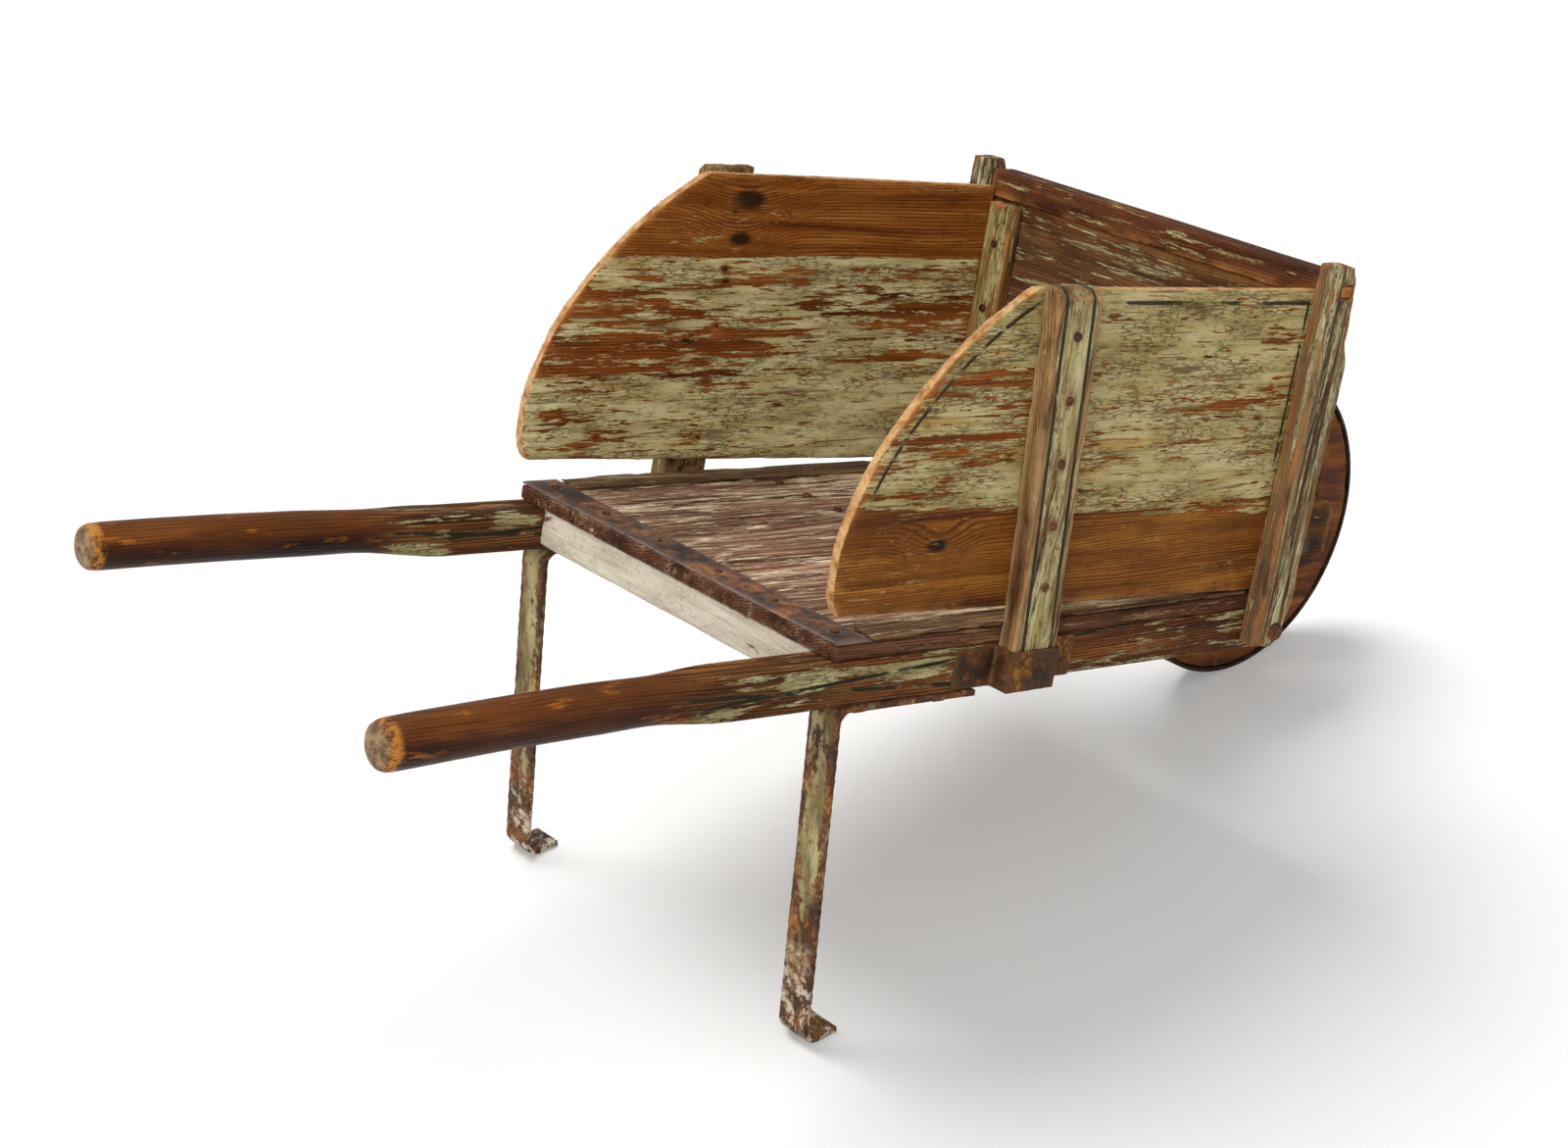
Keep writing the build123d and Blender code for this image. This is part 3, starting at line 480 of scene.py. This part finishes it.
def paintedTimber(name, look):
    look = {**timberLook, **look}
    material, tree = newMaterial(name)
    bed, parts = bedSpace(tree)
    work = SimpleNamespace(tree=tree, bed=bed, parts=parts, look=look)
    work.grain, work.shift = look["grain"], look["shift"]
    work.edge = add(tree, "Attribute", attribute_name="edgeWear").outputs["Fac"]
    growthRings(work)
    work.left = paintLeft(work)
    wood = bareWood(work)
    work.room = paintRoom(work)
    work.coat = add(tree, "MapRange SMOOTHSTEP", work.room, -0.02, 0.03)
    cracks = crazing(work)
    paint = paintColour(work)
    for stripe in look["stripes"]:
        band = pinstripe(work, stripe)
        paint = add(tree, "Mix", band, paint, stripe["colour"])
        work.coat = add(tree, "Math MAXIMUM", work.coat, add(tree, "Math MULTIPLY", band, 0.9))
    surface = add(tree, "Mix", work.coat, wood, paint)
    surface = add(tree, "Mix", add(tree, "Math MULTIPLY", cracks, work.coat), surface, "#35200f")
    if look["ghost"]:
        # a few dry scratches of old paint left on the bare wood
        fine = add(tree, "MapRange SMOOTHSTEP", streaked(work, 25, 2.38, 3, 0.7, 91), 0.60, 0.66)
        where = add(tree, "MapRange SMOOTHSTEP", streaked(work, 200, 38.5, 3, 0.5, 95), 0.56, 0.62)
        scratch = add(tree, "Math MULTIPLY", add(tree, "Math MULTIPLY", fine, where), look["ghost"])
        surface = add(tree, "Mix", scratch, surface, look["paint"][0])
    if look["rim"]:
        surface = handledRim(work, surface)
    if look["sides"]:
        # painted shade: the outer edges of the boards, beside the edge strips, and their rear ends, under
        # the strap, are darkened
        outer = add(tree, "MapRange SMOOTHSTEP", add(tree, "Math ABSOLUTE", parts[1]), 0.262, 0.272)
        ends = add(tree, "MapRange SMOOTHSTEP", parts[0], 0.004, 0.0)
        ends = add(tree, "Math MULTIPLY", add(tree, "Math MAXIMUM", outer, ends), 0.9)
        surface = add(tree, "Mix MULTIPLY", ends, surface, "#7d5a3a")
    work.grit = speckled(work, 11.76, 6, 0.7)
    gritty = add(tree, "MapRange SMOOTHSTEP", work.grit, 0.54, 0.72, 0.0, look["grit"])
    surface = add(tree, "Mix MULTIPLY", gritty, surface, "#3a2716")
    rough = add(tree, "MapRange SMOOTHSTEP", work.fibres, 0.3, 0.7, look["roughLow"], look["roughHigh"])
    if look["handle"]:
        surface, rough = grip(work, surface, rough)
    rough = add(tree, "Math MULTIPLY_ADD", work.coat, -0.08, rough)
    whole = add(tree, "Math SUBTRACT", work.coat, add(tree, "Math MULTIPLY", cracks, work.coat))
    height = add(tree, "Math MULTIPLY_ADD", work.ring, -0.30, add(tree, "Math MULTIPLY", work.hair, -0.2))
    height = add(tree, "Math MULTIPLY_ADD", whole, 0.6, height)
    bump = add(tree, "Bump", into={"Strength": look["bump"], "Distance": 0.001, "Height": height})
    finishMaterial(tree, {
        "Base Color": surface, "Roughness": rough, "Normal": bump, "Specular IOR Level": look["gloss"]})
    return material


# what every forged piece starts from
ironLook = {"shift": 0.0, "worn": "#5b4a40", "bump": 0.6, "metallic": 0.1, "roughLow": 0.5,
            "roughHigh": 0.85, "gloss": 0.2}


def rubbedIronPaint(work, rust):
    # thin brushed paint rubbed back over rust: soft edges, freckled with pits, limy at the feet
    tree, look, rise = work.tree, work.look, work.parts[2]
    pale, middle, dull = look["paint"]
    loss = swayed(tree, 0.5, streaked(work, 143, 22.2, 6, 0.62, 5), 2.0)
    loss = swayed(tree, loss, speckled(work, 9.09, 6, 0.65, 5), 1.3)
    height = add(tree, "MapRange SMOOTHSTEP", rise, look["foot"], look["top"])
    left = add(tree, "ValToRGB", height, stops=look["cover"])
    room = add(tree, "Math MULTIPLY_ADD", work.edge, -0.45, add(tree, "Math SUBTRACT", left, loss))
    coat = add(tree, "MapRange SMOOTHSTEP", room, -0.12, 0.14)
    paint = add(tree, "ValToRGB", streaked(work, 125, 29.4, 6, 0.6, 9), stops=[
        (0.36, dull), (0.48, middle), (0.60, pale)])
    mossy = add(tree, "MapRange SMOOTHSTEP", streaked(work, 83.3, 14.29, 5, 0.6, 21), 0.54, 0.66, 0.0, 0.75)
    paint = add(tree, "Mix", mossy, paint, "#3c3d2a")
    limy = add(tree, "MapRange SMOOTHSTEP", speckled(work, 16.67, 5, 0.65, 13), 0.48, 0.58)
    limy = add(tree, "Math MULTIPLY", add(tree, "MapRange SMOOTHSTEP", rise, -0.30, -0.40), limy)
    paint = add(tree, "Mix", limy, paint, "#b9ae9c")
    freckled = add(tree, "MapRange SMOOTHSTEP", speckled(work, 7.69, 5, 0.65, 17), 0.55, 0.66, 0.0, 0.7)
    paint = add(tree, "Mix", freckled, paint, "#5c3a1c")
    coat = add(tree, "Math MAXIMUM", coat, add(tree, "Math MULTIPLY", limy, 0.75))
    return coat, add(tree, "Mix", coat, rust, paint)


def rustedIron(name, look):
    # forged iron under old rust: rough and nearly matt, mottled from black scale to orange
    look = {**ironLook, **look}
    material, tree = newMaterial(name)
    bed, parts = bedSpace(tree)
    work = SimpleNamespace(tree=tree, bed=bed, parts=parts, look=look, grain="w", shift=0.0)
    work.edge = add(tree, "Attribute", attribute_name="edgeWear").outputs["Fac"]
    # Rust pits are 1 to 2 mm and its grit is finer. Both are drawn about four times as coarse,
    # since real ones don't show.
    blotch = speckled(work, 45.5, 6, 0.65, look["shift"])
    pits = speckled(work, 6.25, 5, 0.65)
    fine = speckled(work, 1.92, 3, 0.65)
    scale, iron, rust, bright = look["metal"]
    mottle = add(tree, "Math MULTIPLY_ADD", pits, 0.4, add(tree, "Math MULTIPLY", blotch, 0.6))
    colour = add(tree, "ValToRGB", mottle, stops=[(0.39, scale), (0.47, iron), (0.54, rust), (0.62, bright)])
    rubbed = add(tree, "MapRange SMOOTHSTEP", pits, 0.62, 0.42, 0.0, 0.5)
    colour = add(tree, "Mix", add(tree, "Math MULTIPLY", work.edge, rubbed), colour, look["worn"])
    height = add(tree, "Math MULTIPLY_ADD", pits, 0.7, add(tree, "Math MULTIPLY", fine, 0.3))
    if "paint" in look:
        coat, colour = rubbedIronPaint(work, colour)
        height = add(tree, "Math MULTIPLY_ADD", coat, 0.5, height)
    bump = add(tree, "Bump", into={"Strength": look["bump"], "Distance": 0.0009, "Height": height})
    rough = add(tree, "MapRange SMOOTHSTEP", blotch, 0.35, 0.65, look["roughLow"], look["roughHigh"])
    finishMaterial(tree, {
        "Base Color": colour, "Roughness": rough, "Normal": bump, "Metallic": look["metallic"],
        "Specular IOR Level": look["gloss"]})
    return material


# oil paint, pale to dull, and wood, dark to bright
sage = ("#a89c70", "#948656", "#6f6036")
lightSage = ("#c2b688", "#ad9f6e", "#83744a")
oldGreen = ("#aca177", "#95885a", "#665830")
amber = ("#421f07", "#673a0b", "#804f19", "#986a2a")
brown = ("#1c0f06", "#3a210e", "#583818", "#7d5a30")
stripeGreen = "#262b18"

# A cover's stops are (place from low to high, how much paint is left). A knot is (along, up,
# radius) and a bare spot (along, up, half length, half width, strength), in metres of the bed.

# Sawn pine, brushed sage green: matt and crazed, with rust-red streaks of bare wood.
# Its top strip was left unpainted, so that it is orange and shows its rings and two big knots.
leftSidePine = paintedTimber("painted_pine_left_side", {
    "grain": "u", "wood": ("#4a2208", "#733e0e", "#8e541e", "#a66e30"), "paint": lightSage,
    "shift": 3.1, "grime": 0.25, "ghost": 0.55, "rim": 0.9,
    "cover": {"axis": 2, "low": 0.05, "high": 0.40, "stray": 0.006, "stops": [
        (0.0, 1.05), (0.20, 1.0), (0.30, 0.66), (0.42, 0.60), (0.52, 0.76), (0.60, 0.70),
        (0.69, 0.92), (0.705, 0.0), (1.0, 0.0)]},
    "knots": [(0.267, 0.365, 0.013), (0.262, 0.317, 0.010), (0.203, 0.191, 0.004),
              (0.249, 0.265, 0.0035), (0.363, 0.169, 0.004)],
    "bareSpots": [(0.10, 0.235, 0.17, 0.030, 0.29), (0.08, 0.186, 0.19, 0.018, 0.31),
                  (0.57, 0.228, 0.14, 0.030, 0.30), (0.50, 0.165, 0.16, 0.008, 0.38),
                  (0.62, 0.275, 0.12, 0.025, 0.28), (0.02, 0.10, 0.03, 0.03, 0.3)]})

# The same boards on the right, where the bare strip is the lower one and a pinstripe follows
# the outer face's edge.
rightSidePine = paintedTimber("painted_pine_right_side", {
    "grain": "u", "wood": amber, "paint": sage, "shift": 9.7, "grime": 0.3, "ghost": 0.45, "rim": 0.9,
    "cover": {"axis": 2, "low": 0.05, "high": 0.40, "tilt": 0.075, "stray": 0.012, "stops": [
        (0.0, 0.0), (0.33, 0.0), (0.345, 0.55), (0.46, 0.74), (0.7, 0.84), (1.0, 0.98)]},
    "stripes": [{"at": 0.0155, "half": 0.0030, "colour": stripeGreen, "above": 0.17,
                 "outside": -0.272, "worn": 0.60}],
    "knots": [(0.50, 0.315, 0.005), (0.12, 0.12, 0.008)],
    "bareSpots": [(0.12, 0.22, 0.14, 0.030, 0.30), (0.17, 0.30, 0.10, 0.014, 0.34),
                  (0.48, 0.215, 0.13, 0.006, 0.40), (0.36, 0.200, 0.06, 0.009, 0.38),
                  (0.44, 0.362, 0.22, 0.008, 0.32), (0.62, 0.33, 0.04, 0.03, 0.3)]})
print("materials: side boards")

# Planed pine cleats, brushed green: the paint holds on their faces and is rubbed off their edges.
cleatPine = paintedTimber("painted_pine_cleat", {
    "grain": "w", "wood": ("#33200e", "#624526", "#82613a", "#a08052"), "rubbed": "#a07c50",
    "paint": oldGreen, "shift": 5.3, "cover": 0.78, "streak": (200, 16.67), "edgeLoss": 0.9})

# The right one has a bare rear edge and two pinstripes down its face.
rightCleatPine = paintedTimber("painted_pine_right_cleat", {
    "grain": "w", "wood": ("#3a2512", "#725230", "#94734a", "#b09468"), "rubbed": "#a88a60",
    "paint": oldGreen, "shift": 1.3, "streak": (200, 14.29), "edgeLoss": 0.9, "red": 0.0,
    "cover": {"axis": 0, "low": 0.240, "high": 0.312, "tilt": 0.093, "along": 2, "stops": [
        (0.0, 0.20), (0.12, 0.30), (0.25, 0.95), (0.80, 0.95), (0.9, 0.55), (1.0, 0.5)]},
    "stripes": [{"axis": 0, "along": 2, "tilt": 0.093, "at": at, "half": 0.0034,
                 "colour": "#20281a", "worn": 0.66} for at in (0.257, 0.299)]})

# Sawn pine posts: the paint has split along the grain, down to grey brown wood.
postPine = paintedTimber("painted_pine_post", {
    "grain": "w", "wood": ("#23140a", "#44301d", "#6a5036", "#8c7250"),
    "paint": ("#aaa680", "#918b64", "#605733"), "shift": 7.9, "cover": 0.50, "streak": (286, 11.76),
    "streakGain": 3.0, "blotGain": 0.8, "edgeLoss": 0.3, "grime": 0.6})

# The cleats inside the headboard: planed pine, with half of their paint left in long streaks.
innerCleatPine = paintedTimber("painted_pine_inner_cleat", {
    "grain": "w", "wood": ("#2e1a0c", "#5a3a1c", "#7c5a30", "#9a7a4a"), "paint": sage, "shift": 2.2,
    "cover": 0.52, "streak": (200, 16.67)})

# Sawn pine headboard: nearly bare below, where loads rubbed it, with more green to its top.
panelPine = paintedTimber("painted_pine_headboard", {
    "grain": "v", "wood": ("#2a180c", "#4e321b", "#684628", "#82603a"),
    "paint": ("#a5a078", "#8c8560", "#655a38"), "shift": 4.4, "red": 0.3,
    "cover": {"axis": 2, "low": 0.0, "high": 0.38, "stops": [
        (0.0, 0.10), (0.5, 0.16), (0.8, 0.26), (0.97, 0.36), (1.0, 0.2)]}})

# Planed oak, bare and handled: dark red brown with pale rubbed corners.
topRailOak = paintedTimber("worn_top_rail", {
    "grain": "v", "wood": ("#1d0c05", "#422010", "#5c321a", "#7c4f2b"), "paint": sage, "shift": 6.6,
    "cover": 0.02, "rub": 1.0, "rubbed": "#a9713a", "grime": 0.4})

# Shaved ash rails: dark brown wood with green left in the middle and dark pinstripes, and
# handles polished by hands, with a painted highlight along their tops and painted shade underneath.
railAsh = paintedTimber("painted_ash_rail", {
    "grain": "u", "wood": ("#1e1006", "#46280f", "#69401c", "#93622e"),
    "paint": ("#a8a078", "#8c8158", "#5c4f30"), "shift": 8.1, "red": 0.3,
    "cover": {"axis": 0, "low": -0.30, "high": 0.72, "stops": [
        (0.0, 0.06), (0.26, 0.14), (0.34, 0.36), (0.55, 0.42), (1.0, 0.40)]},
    "bareSpots": [(-0.160, -0.042, 0.055, 0.016, -0.62), (-0.035, -0.016, 0.045, 0.018, -0.62),
                  (0.10, -0.012, 0.16, 0.006, -0.35)],  # a strength below 0 adds paint
    "streak": (111, 8.33), "streakGain": 3.2, "rubbed": "#7d5228", "grime": 0.65, "ringDepth": 1.0,
    "bump": 0.8, "nick": 0.2,
    "handle": {"from": -0.17, "to": -0.24, "bevelFrom": -0.538, "bevelTo": -0.545,
               "endFrom": -0.5525, "endTo": -0.5545, "faceFrom": -0.5530, "faceTo": -0.5536},
    "stripes": [
        {"axis": 2, "along": 0, "tilt": 0.06, "at": -0.030, "half": 0.0035, "colour": "#141b0e",
         "past": -0.21, "worn": 0.62},
        {"axis": 2, "along": 0, "tilt": -0.05, "at": -0.022, "half": 0.0028, "colour": "#141b0e",
         "past": -0.19, "worn": 0.62}]})

# Sawn ash under the bed, almost without paint: dull dark brown.
hiddenAsh = paintedTimber("brown_ash_under_bed", {
    "grain": "u", "wood": brown, "paint": sage, "shift": 1.9, "cover": 0.12})
crossAsh = paintedTimber("brown_ash_cross", {
    "grain": "v", "wood": brown, "paint": sage, "shift": 2.9, "cover": 0.12})

# Planed pine under a whole coat of cream paint: smooth and chalky, with a few thin cracks.
creamPine = paintedTimber("cream_painted_cross_rail", {
    "grain": "v", "wood": ("#3a2617", "#5b4028", "#7c6144", "#9a8162"),
    "paint": ("#b4ab9b", "#a89e8e", "#918776"), "shift": 12.5, "cover": 1.02, "streak": (71.4, 16.67),
    "stain": 0.05, "dirt": 0.25, "crack": 0.2, "cell": (11.1, 8.33), "grit": 0.25, "nick": 0.08,
    "fleck": 0.6})

# Sawn pine boards, scraped by loads: silvery pink wood with dark rings and dry scratches of cream, with
# painted shade along their outer edges and rear ends.
floorPine = paintedTimber("weathered_pine_floor", {
    "grain": "u", "wood": ("#4a3021", "#7c5c46", "#a07c62", "#bea286"),
    "paint": ("#e2d0ae", "#ccb596", "#9c8268"), "sides": True, "ringDepth": 0.95, "rub": 0.25,
    "rubbed": "#5a402c", "shift": 14.2, "grainMm": 3.6, "cover": 0.46, "nick": 0.2,
    "streak": (76.9, 6.67), "streakGain": 2.8, "fleck": 1.6, "stain": 0.1, "soot": "#2e2119",
    "grime": 0.6, "bump": 0.8, "roughLow": 0.72, "roughHigh": 0.92, "crack": 0.3})

# Split pine strips at the edges: ragged and brown, with a little cream left in the splits.
stripPine = paintedTimber("split_edge_strip", {
    "grain": "u", "wood": ("#2a1b0f", "#523a26", "#755a3d", "#977a56"),
    "paint": ("#bfae8a", "#9a8766", "#735f42"), "rub": 0.3, "rubbed": "#6b5038", "shift": 15.1,
    "cover": 0.30, "streak": (125, 8.33), "fleck": 1.3, "bump": 0.8, "crack": 0.3})

# Sawn elm, oiled and never painted: red brown with a low sheen.
wheelElm = paintedTimber("oiled_elm_wheel", {
    "grain": "u", "wood": ("#2a1205", "#52260b", "#733e14", "#905626"), "paint": sage, "shift": 16.0,
    "cover": -0.6, "grime": 0.5, "roughLow": 0.45, "roughHigh": 0.65, "rub": 0.3, "bump": 0.3,
    "ringDepth": 0.3})
print("materials: timber")

# Forged iron strap, nailed over the boards' ends and rusted: purple brown with grey scuffed edges.
strapIron = rustedIron("rusted_rear_strap", {
    "metal": ("#15110f", "#332b28", "#5c4030", "#8c5c38"), "worn": "#8a7a72", "shift": 3})

# Forged iron straps with thick flaking rust: no metal shows, so that they are dark and matt.
socketIron = rustedIron("rusted_socket_strap", {
    "metal": ("#120802", "#2b1606", "#50300f", "#8a5c26"), "bump": 0.9, "shift": 8, "metallic": 0.0,
    "worn": "#6a4a2c"})

# Cut nails, screws and bolts: brown rust, with some metal left on their heads.
nailIron = rustedIron("rusted_nails", {
    "metal": ("#1c120c", "#3d2617", "#5f3a20", "#7a5030"), "metallic": 0.3})

# Forged tyre and bands, worn on the ground: dark brown, with a dull shine.
tyreIron = rustedIron("worn_tyre_iron", {
    "metal": ("#100b09", "#201611", "#36251b", "#4d3626"), "metallic": 0.4})

# Turned iron axle, greased: grey and smoother than the rest.
axleIron = rustedIron("greased_axle_iron", {
    "metal": ("#141110", "#2b2521", "#443a33", "#5d5047"), "metallic": 0.6, "roughLow": 0.35,
    "roughHigh": 0.6})

# Bent strap-iron legs, brushed with green paint: patchy green over rust, white with lime below.
legIron = rustedIron("painted_leg_iron", {
    "metal": ("#1e1008", "#3e2412", "#643d1e", "#8a6236"), "paint": ("#968a62", "#786b45", "#524627"),
    "metallic": 0.0, "worn": "#3a2414", "foot": -0.46, "top": -0.05,
    "cover": [(0.0, 0.30), (0.10, 0.46), (0.20, 0.60), (0.30, 0.34), (0.45, 0.58), (0.75, 0.70),
              (1.0, 0.58)]})
print("materials: iron")

# shapes: the grid, and how deep the wear goes, in millimetres; a swell is (from, full, gain)
sideShape = {"grid": 2.6, "grain": "u", "wave": 0.5, "ridge": 0.3, "round": 1.2, "bite": 1.2}
postShape = {"grid": 2.2, "grain": "w", "wave": 0.8, "ridge": 0.5, "round": 1.4, "bite": 2.0}
railShape = {"grid": 2.2, "grain": "u", "wave": 0.7, "ridge": 0.4, "round": 1.3, "bite": 1.6, "ease": 2}
handleShape = {**railShape, "swell": (-0.15, -0.30, 2.6)}
floorShape = {"grid": 2.8, "grain": "u", "wave": 0.7, "ridge": 0.8, "round": 1.2, "bite": 1.4}
stripShape = {**floorShape, "grid": 1.8, "bite": 4.0}
crossShape = {"grid": 2.4, "grain": "v", "wave": 0.6, "ridge": 0.4, "round": 1.0, "bite": 1.4}
ironShape = {"grid": 1.3, "grain": "v", "wave": 0.4, "ridge": 0.2, "round": 0.5, "bite": 0.5}
legShape = {"grid": 1.6, "grain": "w", "wave": 0.35, "ridge": 0.15, "round": 0.7, "bite": 0.4}
wheelShape = {"grid": 2.6, "grain": "u", "wave": 0.4, "ridge": 0.2, "round": 1.2, "bite": 1.2}

green, brownWood, floorWood = "green_painted_wood", "weathered_brown_wood", "floor_wood"
wornPieces = [
    ("left_side_board", "left_side", green, leftSidePine, sideShape),
    ("right_side_board", "right_side", green, rightSidePine, sideShape),
    ("left_side_cleat", "left_side", green, cleatPine, postShape),
    ("right_side_cleat", "right_side", green, rightCleatPine, postShape),
    ("left_post", "frame", green, postPine, postShape),
    ("right_post", "frame", green, postPine, postShape),
    ("left_inner_cleat", "frame", green, innerCleatPine, postShape),
    ("right_inner_cleat", "frame", green, innerCleatPine, postShape),
    ("headboard_lower_board", "frame", green, panelPine, crossShape),
    ("headboard_upper_board", "frame", green, panelPine, crossShape),
    ("headboard_top_rail", "frame", brownWood, topRailOak, crossShape),
    ("left_rail", "frame", brownWood, railAsh, handleShape),
    ("right_rail", "frame", brownWood, railAsh, handleShape),
    ("left_wheel_arm", "frame", brownWood, hiddenAsh, railShape),
    ("right_wheel_arm", "frame", brownWood, hiddenAsh, railShape),
    ("middle_cross_rail", "frame", brownWood, crossAsh, crossShape),
    ("front_sill", "frame", brownWood, crossAsh, crossShape),
    ("rear_cross_rail", "frame", "cream_painted_wood", creamPine, crossShape),
    ("floor_board_1", "frame", floorWood, floorPine, floorShape),
    ("floor_board_2", "frame", floorWood, floorPine, floorShape),
    ("floor_board_3", "frame", floorWood, floorPine, floorShape),
    ("floor_board_4", "frame", floorWood, floorPine, floorShape),
    ("left_edge_strip", "frame", floorWood, stripPine, stripShape),
    ("right_edge_strip", "frame", floorWood, stripPine, stripShape),
    ("rear_floor_strap", "frame", "rusted_iron", strapIron, ironShape),
    ("left_socket_strap", "frame", "rusted_iron", socketIron, ironShape),
    ("right_socket_strap", "frame", "rusted_iron", socketIron, ironShape),
    ("left_leg", "frame", "painted_leg_iron", legIron, legShape),
    ("right_leg", "frame", "painted_leg_iron", legIron, legShape),
    ("felloes", "wheel", "wheel_wood", wheelElm, wheelShape),
    ("spokes", "wheel", "wheel_wood", wheelElm, wheelShape),
    ("hub", "wheel", "wheel_wood", wheelElm, wheelShape),
]
for number, (node, body, slotName, material, shape) in enumerate(wornPieces):
    wornCopy(node, body, material, {**shape, "seed": number + 1})
print("pieces: worn copies", len(wornPieces))

keptIron = {
    "tyre": tyreIron, "hub_bands": tyreIron, "axle": axleIron, "axle_bushes": axleIron,
    "axle_washers": axleIron, "linch_pins": axleIron, "post_bolts": nailIron, "post_nuts": nailIron,
    "leg_screws": nailIron, "floor_nails": nailIron, "socket_nails": nailIron,
    "inner_cleat_nails": nailIron, "left_side_nails": nailIron, "right_side_nails": nailIron,
}
for node, material in keptIron.items():
    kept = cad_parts[node]
    kept.data.materials.clear()
    kept.data.materials.append(material)
print("pieces: carried over", len(keptIron))

# White paper under soft light. The key stands high behind the far side. The fill comes over the
# handles and is flagged off the paper, which has a light of its own.
studio = {
    "paperColour": "#f4f4f3", "paperRoughness": 0.9, "paperReach": 40.0, "sky": 0.46, "backdrop": 1.0,
    "key": {"toward": (0.06, 0.60, 1.0), "spread": 36, "power": 2.0},
    "fill": {"toward": (-0.80, -0.50, 0.72), "spread": 50, "power": 3.3},
    "paper": {"toward": (0, 0, 1), "spread": 5, "power": 0.75},
}
reach = studio["paperReach"]
floorMesh = bpy.data.meshes.new("studio_floor")
corners = [(-reach, -reach, 0), (reach, -reach, 0), (reach, reach, 0), (-reach, reach, 0)]
floorMesh.from_pydata(corners, [], [(0, 1, 2, 3)])
floorObject = bpy.data.objects.new("studio_floor", floorMesh)
bpy.context.scene.collection.objects.link(floorObject)
floorMaterial, floorTree = newMaterial("studio_paper")
finishMaterial(floorTree, {"Base Color": studio["paperColour"], "Roughness": studio["paperRoughness"]})
floorMesh.materials.append(floorMaterial)

world = bpy.data.worlds.new("studio_sky")
bpy.context.scene.world = world
world.use_nodes = True
sky = world.node_tree
backdrop = sky.nodes["Background"]
backdrop.inputs["Color"].default_value = (1, 1, 1, 1)
# what the camera sees of the sky is white, and what lights the object is dimmer
seen = add(sky, "MapRange", add(sky, "LightPath"), 0.0, 1.0, studio["sky"], studio["backdrop"])
sky.links.new(seen.outputs["Result"], backdrop.inputs["Strength"])


def softSun(name, lamp):
    light = bpy.data.lights.new(name, "SUN")
    light.energy = lamp["power"]
    light.angle = math.radians(lamp["spread"])
    holder = bpy.data.objects.new(name, light)
    holder.rotation_euler = Vector(lamp["toward"]).to_track_quat("Z", "Y").to_euler()
    bpy.context.scene.collection.objects.link(holder)
    return holder


def linkToFloor(lamp, name, state):
    only = bpy.data.collections.new(name)
    only.objects.link(floorObject)
    lamp.light_linking.receiver_collection = only
    only.collection_objects[0].light_linking.link_state = state


softSun("key_light", studio["key"])
fill = softSun("fill_light", studio["fill"])
linkToFloor(fill, "flagged_from_fill", "EXCLUDE")
paper = softSun("paper_light", studio["paper"])
linkToFloor(paper, "paper_only", "INCLUDE")
paper.data.use_shadow = False

viewpoint = {"place": (-1.908902, -2.222984, 1.818837), "lens": 63.845, "sensor": 36.0,
             "yaw": 51.386, "pitch": -26.558, "roll": -2.594}
yaw, tip, roll = (math.radians(viewpoint[key]) for key in ("yaw", "pitch", "roll"))
forward = Vector((math.cos(tip) * math.cos(yaw), math.cos(tip) * math.sin(yaw), math.sin(tip)))
level = Vector((math.sin(yaw), -math.cos(yaw), 0))
upright = level.cross(forward)
right = level * math.cos(roll) + upright * math.sin(roll)
up = upright * math.cos(roll) - level * math.sin(roll)
cameraData = bpy.data.cameras.new("studio_camera")
cameraData.lens = viewpoint["lens"]
cameraData.sensor_width = viewpoint["sensor"]
camera = bpy.data.objects.new("studio_camera", cameraData)
turn = Matrix((right, up, -forward)).transposed().to_4x4()
camera.matrix_world = Matrix.Translation(viewpoint["place"]) @ turn
bpy.context.scene.collection.objects.link(camera)
bpy.context.scene.camera = camera
bpy.context.scene.view_settings.view_transform = "Standard"

print("studio ready")
